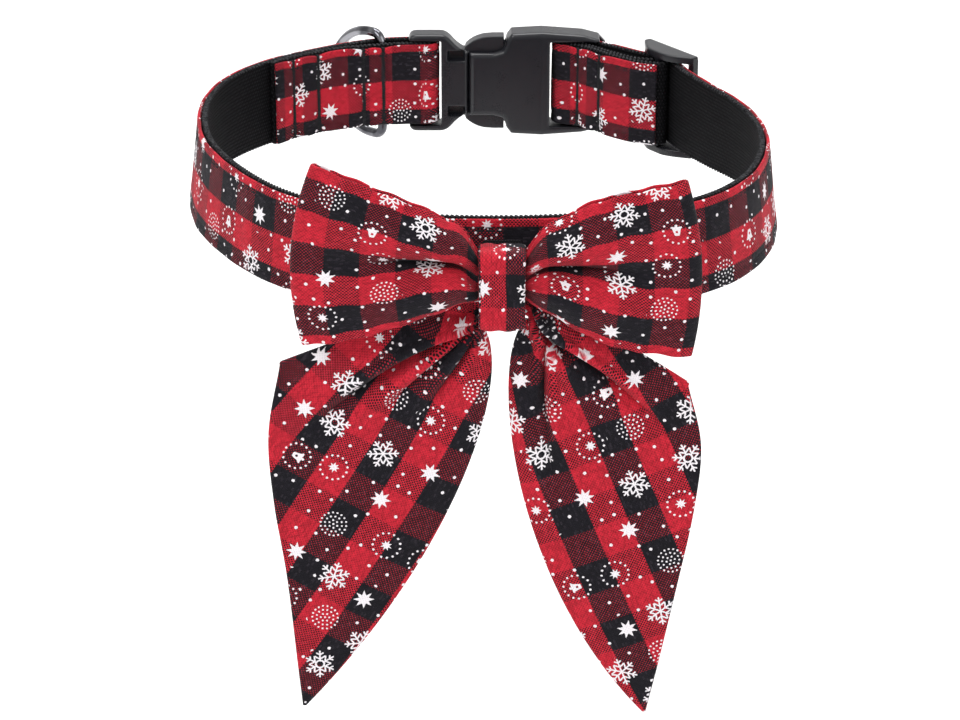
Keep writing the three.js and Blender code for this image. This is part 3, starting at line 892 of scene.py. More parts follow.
    def specks(self, made: Finish, x: Wire, y: Wire, radius: Wire) -> Wire:
        """Single dots scattered between the motifs.

        Args:
            made: the material's tree.
            x: the place along the weft.
            y: the place across it.
            radius: the distance from the nearest motif.

        Returns:
            1 on the dots.
        """
        cell, stray = self.speck_cell, self.speck_stray
        col, row = (x / cell).floor(), (y / cell).floor()
        u = (x / cell).fract() * cell - cell / 2 - (made.chance(col, row, 4.0) - 0.5) * stray
        v = (y / cell).fract() * cell - cell / 2 - (made.chance(col, row, 5.0) - 0.5) * stray
        return ((u * u + v * v) < 0.2) * (radius > self.reach + 0.4)

    def build(self) -> bpy.types.Material:
        """Makes the material.

        Returns:
            The material.
        """
        made = Finish("checked_cotton")
        flat_x, flat_y = made.cloth_place()
        wander = made.noise(made.vector(flat_x, flat_y), 1.7, 1.0) - 0.5
        x, y = flat_x + wander * self.wander, flat_y + wander * self.wander
        row = (y / self.yarn).floor()
        pick = x / self.yarn / 2 + row * 0.5
        beside = (pick.fract() - 0.5) * (2 * self.yarn)
        above = ((y / self.yarn).fract() - 0.5) * self.yarn
        weft_red = (y / (2 * self.square)).fract() < 0.5
        warp_red = (x / (2 * self.square)).fract() < 0.5
        reach = (beside * beside * 0.42 + above * above).root() / self.yarn - weft_red * 0.125
        warp = 1 - reach.ease(0.26, 0.34)
        # Painted shade: the warp's dots, sunk between the weft rows, are darkened here and again by
        # the multiplier below.
        tone = weft_red * (1 - warp) + warp_red * warp * 0.86
        fleck = made.chance(row, pick.floor(), 6.0)
        slub = made.noise(made.vector(flat_x * 0.35, flat_y * 2.4), 1.0, 3.0)
        # The yarn's own uneven tone from fleck and slub, times painted shade on the sunken warp
        # dots.
        yarn_tone_and_warp_shade = (fleck * 0.5 + 0.74) * (slub * 0.3 + 0.85) * (1 - warp * 0.24)
        lint = (fleck - 0.8).most(0) * (1 - tone)
        ground = made.blend(lint * 0.9, made.blend(tone, self.black, self.red), self.lint)
        multiply = {"data_type": "RGBA", "blend_type": "MULTIPLY"}
        dark = made.node("ShaderNodeMix", multiply, {0: 1.0, 6: ground})
        made.feed(dark.inputs[7], made.vector(yarn_tone_and_warp_shade, yarn_tone_and_warp_shade, yarn_tone_and_warp_shade))
        frayed_x = flat_x + (made.noise(made.vector(flat_x, flat_y), 4.1, 0.0) - 0.5) * self.fray
        frayed_y = flat_y + (made.noise(made.vector(flat_y, flat_x), 4.3, 0.0) - 0.5) * self.fray
        ink, radius = self.motifs(made, frayed_x, frayed_y)
        squeeze = made.node("ShaderNodeAttribute", {"attribute_name": CRUSHED}, {})
        ink = ink.most(self.specks(made, frayed_x, frayed_y, radius)).least(1)
        ink = ink * (1 - Wire(made, squeeze.outputs["Fac"]))
        paint = ink * (1 - warp * 0.14)
        colour = made.blend(paint, dark.outputs[2], self.ink)
        crest = 1 - above * above * (4 / self.yarn**2)
        rumple = made.noise(made.vector(flat_x, flat_y), 0.16, 2.0)
        height = crest * 0.07 - warp * 0.05 + fleck * 0.03 + ink * 0.02 + rumple * 0.7
        made.set(Base_Color=colour, Roughness=0.86 - ink * 0.2, Specular_IOR_Level=0.16)
        made.set(Sheen_Weight=0.04, Sheen_Roughness=0.45)
        made.relief(height)
        return made.material


@dataclass(frozen=True)
class RibbedWebbing:
    """Black nylon webbing with a fine grid of ribs, whose crests carry a patchy painted highlight.
    """

    dark: Colour = (0.0022, 0.0022, 0.0028)
    # The colour of the painted highlight on the ribs' crests.
    dress_and_highlight: Colour = (0.042, 0.041, 0.048)
    rib: float = 1.05
    pick: float = 0.72

    def build(self) -> bpy.types.Material:
        """Makes the material.

        Returns:
            The material.
        """
        made = Finish("ribbed_webbing")
        x, y = made.cloth_place()
        row = (y / self.rib).floor()
        turn = (x / self.pick + row * 0.5).fract() - 0.5
        aside = (y / self.rib).fract() - 0.5
        knuckle = (1 - turn * turn * 4) * (1 - aside * aside * 4)
        fibre = made.noise(made.vector(x * 6.0, y * 1.2), 1.0, 2.0)
        patch = made.noise(made.vector(x, y), 0.25, 2.0)
        # Painted highlight: the ribs' crests are lightened in patches and made a little glossier.
        wear_and_highlight = knuckle.ease(0.55, 1.0) * fibre * (patch * 0.9 + 0.15)
        made.set(Base_Color=made.blend(wear_and_highlight, self.dark, self.dress_and_highlight))
        made.set(Roughness=0.78 - wear_and_highlight * 0.25, Specular_IOR_Level=0.09)
        made.relief(knuckle * 0.24 + fibre * 0.04)
        return made.material


@dataclass(frozen=True)
class SpunThread:
    """Matt black sewing thread, flecked lighter by noise; on the webbing's edges the lighter flecks
    are painted glints.
    """

    name: str = "spun_thread"
    dark: Colour = (0.006, 0.006, 0.0075)
    light: Colour = (0.030, 0.030, 0.034)
    twist: float = 2600.0

    def build(self) -> bpy.types.Material:
        """Makes the material.

        Returns:
            The material.
        """
        made = Finish(self.name)
        place = made.place()
        fuzz_and_glints = made.noise(place, self.twist, 2.0)
        # Lighter where the noise peaks: fibre fuzz, and on the edge thread painted glints.
        made.set(Base_Color=made.blend(fuzz_and_glints.ease(0.35, 0.8), self.dark, self.light), Roughness=0.82)
        made.set(Specular_IOR_Level=0.2)
        made.relief(fuzz_and_glints * 0.05)
        return made.material


# The selvedge beads' thread, whose lighter colour is painted glints scattered by the noise.
EDGE_THREAD = SpunThread("edge_thread", (0.003, 0.003, 0.004), (0.060, 0.060, 0.066), 1500.0)


@dataclass(frozen=True)
class MouldedPlastic:
    """Black acetal with a fine satin texture and faint paler clouds and scuffs scattered over it.
    """

    body: Colour = (0.0080, 0.0082, 0.0108)
    wear_and_highlight: Colour = (0.020, 0.0205, 0.025)

    def build(self) -> bpy.types.Material:
        """Makes the material.

        Returns:
            The material.
        """
        made = Finish("moulded_plastic")
        place = made.place()
        grain = made.noise(place, 3800.0, 2.0)
        cloud = made.noise(place, 70.0, 3.0)
        scuff = made.noise(place, 420.0, 4.0).ease(0.62, 0.8)
        made.set(Base_Color=made.blend(cloud * 0.35 + scuff * 0.3, self.body, self.wear_and_highlight))
        made.set(Roughness=cloud * 0.12 + grain * 0.06 + 0.2, Specular_IOR_Level=0.36)
        made.relief(grain * 0.012 + scuff * 0.004)
        return made.material


@dataclass(frozen=True)
class PlatedSteel:
    """Shiny nickel plate with faint polishing marks; its colour is kept dark and clouded with
    near-black patches as painted dark reflections.
    """

    body: Colour = (0.30, 0.30, 0.32)
    # The near-black patches' colour: painted dark reflection.
    dark_reflection: Colour = (0.07, 0.07, 0.08)

    def build(self) -> bpy.types.Material:
        """Makes the material.

        Returns:
            The material.
        """
        made = Finish("plated_steel")
        place = made.place()
        cloud = made.noise(place, 120.0, 3.0)
        marks = made.noise(place, 900.0, 4.0)
        # Painted dark reflections: noise blotches the darkened plate with near-black patches.
        made.set(Base_Color=made.blend(cloud.ease(0.42, 0.6), self.body, self.dark_reflection), Metallic=1.0)
        made.set(Roughness=marks * 0.12 + 0.1)
        made.relief(marks * 0.004)
        return made.material


@dataclass
class Finishes:
    """Every material of the collar, made once."""

    cotton: bpy.types.Material = field(default_factory=lambda: CheckedCotton().build())
    webbing: bpy.types.Material = field(default_factory=lambda: RibbedWebbing().build())
    thread: bpy.types.Material = field(default_factory=lambda: SpunThread().build())
    edging: bpy.types.Material = field(default_factory=lambda: EDGE_THREAD.build())
    plastic: bpy.types.Material = field(default_factory=lambda: MouldedPlastic().build())
    steel: bpy.types.Material = field(default_factory=lambda: PlatedSteel().build())


def dress(
    piece: bpy.types.Object, material: bpy.types.Material, slot: str, body: str, *nodes: str
) -> None:
    """Gives a piece its material, its body and the model nodes that it stands for.

    Args:
        piece: the piece.
        material: its material.
        slot: a material slot name; not used.
        body: the body that it moves with.
        nodes: the model nodes that it replaces.
    """
    piece.data.materials.clear()
    piece.data.materials.append(material)
    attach(piece, body)
    if nodes:
        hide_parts(*nodes)
    piece.data.calc_loop_triangles()
    LOG.info("%s: %d triangles", piece.name, len(piece.data.loop_triangles))


# ---- Stitches --------------------------------------------------------------------------------


@dataclass
class StitchRow:
    """Thread stitches laid at an even pitch along lines.

    Each line's points carry the direction in which a stitch lies there.
    """

    name: str
    pitch: float
    long: float
    thick: float
    lines: list[tuple[Numbers, Numbers]] = field(default_factory=list)

    def add(self, points: Numbers, lay: Numbers) -> None:
        """Adds a line of stitches with the direction that they lie in."""
        self.lines.append((points, unit(lay)))

    def guide(self) -> bpy.types.Object:
        """Makes the lines as a mesh of edges that carries the directions.

        Returns:
            The lines.
        """
        points = np.concatenate([p for p, _ in self.lines])
        lay = np.concatenate([d for _, d in self.lines])
        edges, start = [], 0
        for line, _ in self.lines:
            edges += [(start + i, start + i + 1) for i in range(len(line) - 1)]
            start += len(line)
        mesh = bpy.data.meshes.new(self.name)
        mesh.from_pydata((points * MM).tolist(), edges, [])
        stored = mesh.attributes.new("lay", "FLOAT_VECTOR", "POINT")
        stored.data.foreach_set("vector", lay.astype(np.float32).ravel())
        return link(self.name, mesh)

    def tree(self, thread: bpy.types.Material) -> bpy.types.NodeTree:
        """Builds the node tree.

        Args:
            thread: the stitches' material.

        Returns:
            A tree with the stitches' pitch, length and thickness as inputs.
        """
        made = bpy.data.node_groups.new(self.name, "GeometryNodeTree")
        made.interface.new_socket("Geometry", in_out="INPUT", socket_type="NodeSocketGeometry")
        for name in ("Pitch", "Length", "Thickness"):
            made.interface.new_socket(name, in_out="INPUT", socket_type="NodeSocketFloat")
        made.interface.new_socket("Geometry", in_out="OUTPUT", socket_type="NodeSocketGeometry")

        def add(kind: str, settings: dict, inputs: dict) -> bpy.types.Node:
            """Adds a node.

            Args:
                kind: the node's type.
                settings: its own properties, set first.
                inputs: a value or socket for each named input.

            Returns:
                The node.
            """
            node = made.nodes.new(kind)
            for key, value in settings.items():
                setattr(node, key, value)
            for key, value in inputs.items():
                if isinstance(value, bpy.types.NodeSocket):
                    made.links.new(value, node.inputs[key])
                else:
                    node.inputs[key].default_value = value
            return node

        given = add("NodeGroupInput", {}, {}).outputs
        line = add("GeometryNodeMeshToCurve", {}, {"Mesh": given["Geometry"]}).outputs["Curve"]
        steps = {"Curve": line, "Length": given["Pitch"]}
        walked = add("GeometryNodeResampleCurve", {"mode": "LENGTH"}, steps)
        bead = add("GeometryNodeMeshUVSphere", {}, {"Segments": 6, "Rings": 5, "Radius": 0.5})
        smooth = add("GeometryNodeSetShadeSmooth", {}, {"Geometry": bead.outputs["Mesh"]})
        lay = add("GeometryNodeInputNamedAttribute", {"data_type": "FLOAT_VECTOR"}, {"Name": "lay"})
        way = {"Vector": lay.outputs["Attribute"]}
        turn = add("FunctionNodeAlignRotationToVector", {"axis": "Z"}, way)
        sides = {"X": given["Thickness"], "Y": given["Thickness"], "Z": given["Length"]}
        stitches = {
            "Points": walked.outputs["Curve"],
            "Instance": smooth.outputs["Geometry"],
            "Rotation": turn.outputs["Rotation"],
            "Scale": add("ShaderNodeCombineXYZ", {}, sides).outputs["Vector"],
        }
        placed = add("GeometryNodeInstanceOnPoints", {}, stitches)
        real = add("GeometryNodeRealizeInstances", {}, {"Geometry": placed.outputs["Instances"]})
        dress_and_highlight = {"Geometry": real.outputs["Geometry"], "Material": thread}
        sewn = add("GeometryNodeSetMaterial", {}, dress_and_highlight)
        add("NodeGroupOutput", {}, {"Geometry": sewn.outputs["Geometry"]})
        return made

    def build(self, thread: bpy.types.Material) -> bpy.types.Object:
        """Lays the stitches and makes them one plain mesh.

        Args:
            thread: the stitches' material.

        Returns:
            The stitches.
        """
        piece = self.guide()
        layer = piece.modifiers.new("stitches", "NODES")
        layer.node_group = self.tree(thread)
        sizes = {"Pitch": self.pitch, "Length": self.long, "Thickness": self.thick}
        for item in layer.node_group.interface.items_tree:
            if item.in_out == "INPUT" and item.name in sizes:
                layer[item.identifier] = sizes[item.name] * MM
        settled(piece)
        return piece


# ---- Strap -----------------------------------------------------------------------------------


@dataclass
class StrapRoute:
    """The strap's way in plan, from its left end round the neck to its sewn end."""

    run: tuple[tuple[float, float], ...] = (
        (-18.5, 71.5), (-24.0, 71.2), (-31.0, 69.8), (-39.0, 66.2), (-48.5, 60.3), (-59.7, 51.6),
        (-68.5, 41.0), (-74.4, 29.0), (-77.8, 14.0), (-77.4, -3.0), (-73.8, -20.5), (-66.0, -38.0),
        (-53.5, -56.0), (-38.0, -68.0), (-18.0, -74.8), (5.0, -76.6), (28.0, -74.4), (46.0, -69.3),
        (59.5, -60.5), (69.2, -48.0), (75.1, -32.5), (77.6, -14.5), (76.2, 2.0), (71.6, 16.5),
        (65.0, 28.5), (58.3, 42.0), (56.5, 47.0), (54.7, 51.7), (50.6, 55.1), (46.2, 58.2),
        (39.8, 63.4), (33.0, 68.4), (28.5, 71.0), (25.4, 71.5),
    )
    inner: tuple[tuple[float, float], ...] = (
        (25.4, 66.5), (29.6, 64.2), (37.4, 56.4), (44.7, 50.4),
    )
    sewn: tuple[tuple[float, float], ...] = (
        (45.7, 52.1), (38.6, 57.7), (30.8, 65.4), (28.0, 67.3),
    )
    end_reach: float = 49.8
    end_shares: tuple[float, ...] = (0.0, 0.12, 0.24, 0.36, 0.55, 0.7, 1.0)
    end_depths: tuple[float, ...] = (5.0, 4.8, 4.8, 4.0, 2.2, 1.7, 1.7)
    prong_bar: tuple[float, float] = (-16.8, 69.0)
    socket_bar: tuple[float, float] = (25.4, 69.0)
    slider: tuple[float, float] = (51.7, 49.6)
    bar_wrap: float = 2.5
    slider_wrap: float = 2.1
    slider_turn: tuple[float, float] = (-112.0, 68.0)
    step: float = 0.55
    flare: float = 1.6
    flare_from: float = 50.0
    flare_over: float = 45.0
    half_width: float = 12.5

    def __post_init__(self) -> None:
        """Joins the stretches and measures them."""
        outer = through(self.run, 0.25)
        at = lengths(outer)
        end = outer[at <= self.end_reach][::-1]
        share = at[at <= self.end_reach][::-1] / self.end_reach
        tangent = unit(np.gradient(outer, axis=0))[at <= self.end_reach][::-1]
        inward = np.stack([-tangent[:, 1], tangent[:, 0]], axis=1)
        left = end + inward * column(self.end_shares, self.end_depths, share)[:, None]
        wrap = arc(self.slider, self.slider_wrap, *self.slider_turn)
        stretches = [
            left,
            arc(self.prong_bar, self.bar_wrap, -90, 90),
            outer,
            arc(self.socket_bar, self.bar_wrap, 90, 270),
            through([*self.inner, wrap[0]], 0.25),
            wrap,
            through([wrap[-1], *self.sewn], 0.25),
        ]
        ends = np.cumsum([lengths(s)[-1] for s in stretches])
        self.left_stop, self.inner_start, self.inner_stop = ends[0], ends[3], ends[4]
        self.cover_stop = (ends[4] + ends[5]) / 2
        joined = np.vstack([stretches[0], *[s[1:] for s in stretches[1:]]])
        self.line = spaced(joined, self.step)
        self.at = lengths(self.line)
        along = unit(np.gradient(self.line, axis=0))
        self.along = np.column_stack([along, np.zeros(len(along))])
        self.side = np.column_stack([along[:, 1], -along[:, 0], np.zeros(len(along))])
        behind = self.flare_from - self.line[:, 1]
        self.lean = smoothstep(0, self.flare_over, behind) * self.flare

    def place(self, offset: "float | Numbers", height: "float | Numbers") -> Numbers:
        """Places points beside the route.

        Args:
            offset: how far they stand off towards the strap's patterned side.
            height: their height.

        Returns:
            A point for each station, or a row of points where the height is a row.
        """
        heights = np.atleast_1d(height)[None, :]
        out = np.broadcast_to(np.asarray(offset, float), (len(self.line), heights.shape[1]))
        shift = out - self.lean[:, None] * heights / self.half_width
        flat = np.column_stack([self.line, np.zeros(len(self.line))])
        points = flat[:, None] + self.side[:, None] * shift[..., None]
        points[..., 2] = np.broadcast_to(heights, shift.shape)
        return points

    def station(self, x: float, start: float, stop: float) -> int:
        """Finds the station nearest to an x within a stretch of the route.

        Args:
            x: the place sought.
            start: where the stretch starts along the route.
            stop: where it ends.

        Returns:
            The station's number.
        """
        far = np.abs(self.line[:, 0] - x) + 1e6 * ((self.at < start) | (self.at > stop))
        return int(far.argmin())


@dataclass
class Strap:
    """The webbing with its printed cover, its selvedges and its stitches."""

    route: StrapRoute = field(default_factory=StrapRoute)
    webbing_thick: float = 1.4
    webbing_half: float = 11.8
    cover_half: float = 11.9
    cover_thick: float = 0.9
    cover_offset: float = 1.5
    stitch_drop: float = 2.1
    tuck: float = 2.2
    bar_tuck: float = 2.4
    printed_from: float = -2.6
    printed_below: float = 4.3
    left_tacks: tuple[float, ...] = (-55.8, -48.6, -35.1, -29.1)
    right_tacks: tuple[float, ...] = (29.3, 35.6)
    webbing_columns: int = 13
    cover_columns: int = 41
    selvedge_size: tuple[float, float, float] = (1.25, 1.9, 0.95)
    seam_size: tuple[float, float, float] = (2.7, 2.2, 0.42)
    tack_size: tuple[float, float, float] = (0.62, 1.5, 0.8)
    seam_pull: float = 0.26
    tack_pull: float = 1.0
    tack_rise: float = 0.35
    tack_narrow: float = 0.075
    wave: float = 0.10

    def pucker(self, heights: Numbers) -> Numbers:
        """Finds how far the cover is drawn in by its stitches.

        Args:
            heights: the heights of the cover's columns.

        Returns:
            An offset for each station and column.
        """
        at = self.route.at[:, None]
        inset = np.zeros((len(self.route.line), len(heights)))
        for side in (1, -1):
            gap = np.abs(heights - side * (self.cover_half - self.stitch_drop))[None, :]
            pull = 0.8 + 0.2 * np.cos(2 * math.pi * at / self.seam_size[0])
            inset += self.seam_pull * np.exp(-((gap / 0.45) ** 2)) * pull
        inset += self.tack_pull * self.drawn(1.2) - self.tack_rise * self.drawn(4.5)
        wave = self.wave * np.sin(at * 0.37) * np.sin(at * 0.11 + heights[None, :] * 0.21)
        return wave - inset

    def drawn(self, wide: float) -> Numbers:
        """Finds how near each station is to a row of tacking.

        Args:
            wide: the distance at which a row's pull has mostly gone.

        Returns:
            A number from 0 to 1 for each station.
        """
        at = self.route.at[:, None]
        far = [np.abs(at - self.route.at[i]) / wide for i in self.tack_stations()]
        return np.minimum(sum(np.exp(-(gap**1.4)) for gap in far), 1)

    def tack_stations(self) -> list[int]:
        """Finds the rows of tacking.

        Returns:
            The route's stations that have one.
        """
        left, inner = (0, self.route.left_stop), (self.route.inner_start, self.route.inner_stop)
        rows = [(x, *left) for x in self.left_tacks] + [(x, *inner) for x in self.right_tacks]
        return [self.route.station(*row) for row in rows]

    def webbing(self) -> bpy.types.Object:
        """Makes the webbing.

        Returns:
            The webbing.
        """
        heights = np.linspace(-self.webbing_half, self.webbing_half, self.webbing_columns)
        middle = self.route.place(0.0, heights)
        uv = pairs(self.route.at[:, None], heights[None, :] + 13)
        return Sheet("webbing_band", middle, uv, self.webbing_thick).build()

    def cover(self) -> bpy.types.Object:
        """Makes the printed cover, whose cloth is tucked in under each row of tacking.

        Returns:
            The cover.
        """
        heights = np.linspace(-self.cover_half, self.cover_half, self.cover_columns)
        middle = self.route.place(self.cover_offset + self.pucker(heights), heights)
        middle[..., 2] *= 1 - self.tack_narrow * self.drawn(1.8)
        across = heights[None, :] + self.cover_half - self.printed_below
        past = [self.route.at - self.route.at[i] for i in self.tack_stations()]
        tucked = self.tuck * sum(smoothstep(-0.6, 0.6, beyond) for beyond in past)
        tucked = tucked + self.bar_tuck * smoothstep(0, 2, self.route.at - self.route.left_stop)
        along = self.route.at + tucked + self.printed_from
        uv = pairs(along[:, None], across)
        kept = self.route.at <= self.route.cover_stop
        return Sheet("cover_band", middle[kept], uv[kept], self.cover_thick).build()

    def selvedges(self, thread: bpy.types.Material) -> bpy.types.Object:
        """Makes the webbing's ridged edges.

        Args:
            thread: their material.

        Returns:
            The edges.
        """
        row = StitchRow("webbing_selvedges", *self.selvedge_size)
        for way in (1, -1):
            points = self.route.place(0.0, way * (self.webbing_half + 0.5))[:, 0]
            row.add(points, self.route.side + self.route.along * 0.55)
        return row.build(thread)

    def seams(self, thread: bpy.types.Material) -> bpy.types.Object:
        """Makes the running stitches along the cover's edges.

        Args:
            thread: their material.

        Returns:
            The stitches.
        """
        row = StitchRow("cover_stitches", *self.seam_size)
        kept = self.route.at <= self.route.cover_stop - 1
        face = self.cover_offset + self.cover_thick / 2 - 0.22
        inset = self.cover_half - self.stitch_drop
        for height in (inset + 0.35, inset - 0.45, -inset):
            points = self.route.place(face, height)[:, 0]
            row.add(points[kept], self.route.along[kept])
        return row.build(thread)

    def tacks(self, thread: bpy.types.Material) -> bpy.types.Object:
        """Makes the dense rows of tacking across the folded ends.

        Args:
            thread: their material.

        Returns:
            The stitches.
        """
        row = StitchRow("tacking_stitches", *self.tack_size)
        heights = np.linspace(-self.cover_half + 0.3, self.cover_half - 0.3, 40)
        face = self.cover_offset + self.cover_thick / 2 - 0.5
        for station in self.tack_stations():
            points = self.route.place(face, heights)[station]
            lay = self.route.along[station] + np.outer(np.cos(heights * 9), (0, 0, 0.5))
            row.add(points, lay)
        return row.build(thread)

    def build(self, finishes: Finishes) -> None:
        """Builds and dresses the strap.

        Args:
            finishes: the collar's materials.
        """
        cover = self.cover()
        dress(self.webbing(), finishes.webbing, "webbing", BODY, "strap_webbing")
        dress(cover, finishes.cotton, "check", BODY, "strap_cover")
        dress(self.selvedges(finishes.edging), finishes.edging, "webbing", BODY)
        for piece in (self.seams(finishes.thread), self.tacks(finishes.thread)):
            dress(piece, finishes.thread, "webbing", BODY)


# ---- Hard pieces -----------------------------------------------------------------------------


@dataclass
class MouldedPiece:
    """A plastic piece whose edges are rounded as a mould leaves them."""

    name: str
    node: str
    voxel: float = 0.26
    rounds: int = 3
    crown: float = 0.0
    pocket: tuple[float, float, float, float] | None = None
    pocket_deep: float = 2.0
    front_deep: float = 2.2

    def build(self, plastic: bpy.types.Material) -> bpy.types.Object:
        """Rounds a copy of the model's node.

        Args:
            plastic: the piece's material.

        Returns:
            The piece.
        """
        piece = link(self.name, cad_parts[self.node].data.copy())
        finished(piece)
        grid = piece.modifiers.new("grid", "REMESH")
        grid.mode = "VOXEL"
        grid.voxel_size = self.voxel * MM
        soften = piece.modifiers.new("soften", "SMOOTH")
        soften.factor = 0.5
        soften.iterations = self.rounds
        settled(piece)
        self.swell(piece.data)
        dress(piece, plastic, "plastic", BODY, self.node)
        return piece

    def swell(self, mesh: bpy.types.Mesh) -> None:
        """Crowns the broad faces, thickest at mid height, and deepens the pockets in the front.

        Args:
            mesh: the piece's mesh, which is changed.
        """
        low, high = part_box(self.node)
        middle, half = (low.y + high.y) / 2, (high.z - low.z) / 2
        points = np.zeros(len(mesh.vertices) * 3, np.float32)
        mesh.vertices.foreach_get("co", points)
        points = points.reshape(-1, 3)
        keep = 1 - self.crown * (points[:, 2] / half) ** 2
        points[:, 1] = middle + (points[:, 1] - middle) * keep
        if self.pocket:
            left, right, bottom, top = (edge * MM for edge in self.pocket)
            x, y, height = points[:, 0], points[:, 1], np.abs(points[:, 2])
            inside = (x > left) & (x < right) & (height > bottom) & (height < top)
            front = y < low.y + self.front_deep * MM
            points[:, 1] += self.pocket_deep * MM * (inside & front)
        mesh.vertices.foreach_set("co", points.ravel())


@dataclass
class LeashRing:
    """The D-shaped ring: a straight bar in the strap's fold, two corners and a round far side."""

    x: float = -29.5
    y: float = 67.7
    wire: float = 2.8
    height: float = 34.4
    depth: float = 19.0
    corner: float = 3.0
    bearing: float = 141.0
    drop: float = 1.0
    sides: int = 18
    step: float = 0.6

    def path(self) -> Numbers:
        """Draws the middle line of the wire.

        Returns:
            Distances out from the bar, and heights.
        """
        top = (self.height - self.wire) / 2
        bar = top - self.corner
        turns = np.radians(np.linspace(0, 90, 9))
        out, up = self.corner * (1 - np.cos(turns)), bar + self.corner * np.sin(turns)
        bend = np.stack([out, up], axis=1)
        round_end = np.radians(np.linspace(90, -90, 61))
        start = self.corner + self.wire / 2
        reach = self.depth - start
        bow = np.stack([start + reach * np.cos(round_end), top * np.sin(round_end)], axis=1)
        heights = np.linspace(-bar, bar, 14)[1:-1]
        straight = np.stack([np.zeros(len(heights)), heights], axis=1)
        return np.vstack([straight, bend, bow, bend[::-1] * (1, -1)])

    def build(self, steel: bpy.types.Material) -> bpy.types.Object:
        """Sweeps the wire round its path.

        Args:
            steel: the ring's material.

        Returns:
            The ring.
        """
        flat = self.path()
        flat = spaced(np.vstack([flat, flat[:1]]), self.step)[:-1]
        bearing = math.radians(self.bearing)
        out = np.array([math.cos(bearing), math.sin(bearing), 0])
        centre = np.array([self.x, self.y, -self.drop])
        line = centre + flat[:, :1] * out + flat[:, 1:] * np.array([0, 0, 1])
        along = unit(around(line))
        across = np.cross(out, (0, 0, 1))
        up = unit(np.cross(along, across))
        turns = np.linspace(0, 2 * math.pi, self.sides, endpoint=False)
        rings = [line + self.wire / 2 * (math.cos(t) * across + math.sin(t) * up) for t in turns]
        points = np.stack(rings, axis=1)
        rows, cols = np.meshgrid(np.arange(len(line) + 1), np.arange(self.sides + 1), indexing="ij")
        places = np.stack([rows, cols], axis=-1) * self.step
        piece = woven_mesh("steel_ring", points, places, (True, True))
        dress(piece, steel, "steel", RING_BODY, "leash_ring")
        return piece


# ---- Bow -------------------------------------------------------------------------------------


@dataclass
class Wing:
    """Half of the bow's loop, as tables of its height and depth from the knot to the fold."""

    side: int
    knot: float
    edge: tuple[float, float, float]
    bottom: tuple[float, ...]
    top: tuple[float, ...]
    column_start: float
    shares: tuple[float, ...] = (0.0, 0.1, 0.2, 0.36, 0.56, 0.78, 1.0)
    open: tuple[float, ...] = (2.2, 3.4, 4.6, 5.6, 5.8, 4.6, 2.2)
    swell: tuple[float, ...] = (0.0, 3.2, 3.6, 2.9, 1.6, 0.5, 0.0)
    notch: tuple[float, ...] = (0.0, 2.4, 4.2, 4.0, 1.9, 0.3, 0.0)
    middle_y: float = -90.2
    room: float = 1.45
    crease_wide: float = 0.075
    gather_high: float = 0.35
    ripple_high: float = 0.25
    hem_wave: float = 0.22
    edge_gap: float = 1.5
    knot_gap: float = 1.3

    def points(self, share: Numbers, face: Numbers, v: Numbers) -> Numbers:
        """Places the cloth.

        Args:
            share: how far each row is from the knot to the fold.
            face: 1 in front and -1 behind for each row, passing through 0 at the fold.
            v: how far each column is from the lower to the upper edge.

        Returns:
            Rows by columns of points.
        """
        s, f, w = share[:, None], face[:, None], v[None, :]
        lower, middle, upper = self.edge
        fold = lower * (1 - w) * (1 - 2 * w) + 4 * middle * w * (1 - w) + upper * w * (2 * w - 1)
        tables = ("bottom", "top", "open", "swell", "notch")
        read = {name: column(self.shares, getattr(self, name), share)[:, None] for name in tables}
        soft = (1 - np.cos(4 * math.pi * w)) / 2
        crisp = np.abs(np.sin(2 * math.pi * w)) ** 0.85
        near = 1 - smoothstep(0.25, 0.8, s)
        lobes = crisp * near + soft * (1 - near) - 0.35
        crease = read["notch"] * np.exp(-((np.abs(w - 0.5) / self.crease_wide) ** 1.3))
        gathers = np.sin(2 * math.pi * (5 * w + 0.15 * self.side))
        tuck = self.gather_high * np.exp(-s / 0.14) * gathers * smoothstep(0, 0.04, s)
        waves = np.sin(9 * s + 5 * w * self.side) * np.sin(math.pi * w)
        ripple = self.ripple_high * waves * smoothstep(0.3, 0.7, s)
        front = read["open"] + read["swell"] * lobes - crease + tuck + ripple
        bulge = np.sin(math.pi * w) ** 0.6 * smoothstep(0.0, 0.15, s)
        shut = self.edge_gap + 0.8 * w * smoothstep(0.1, 0.5, s)
        gap = shut + (self.room * read["open"] - shut) * bulge
        gap = gap + self.knot_gap * (1 - smoothstep(0.0, 0.12, s))
        depth = front - gap * (1 - f) / 2
        hem = self.hem_wave * np.sin(31 * s + 2 * self.side) * (np.abs(2 * w - 1) ** 6)
        x = self.knot + (fold - self.knot) * s
        z = read["bottom"] + (read["top"] - read["bottom"]) * w + hem
        return np.stack(np.broadcast_arrays(x, self.middle_y - depth, z), axis=-1)


LEFT_WING = Wing(
    side=-1,
    knot=-0.8,
    edge=(-44.8, -46.9, -41.4),
    bottom=(-2.8, -3.9, -5.3, -7.5, -10.2, -13.1, -15.0),
    top=(8.4, 15.3, 18.3, 21.9, 25.5, 29.1, 32.2),
    column_start=0.0,
)
RIGHT_WING = Wing(
    side=1,
    knot=11.2,
    edge=(52.6, 54.5, 50.4),
    bottom=(-2.8, -5.2, -7.4, -11.1, -14.4, -16.4, -18.4),
    top=(8.4, 15.0, 17.9, 21.9, 25.0, 26.5, 27.6),
    column_start=14.0,
)


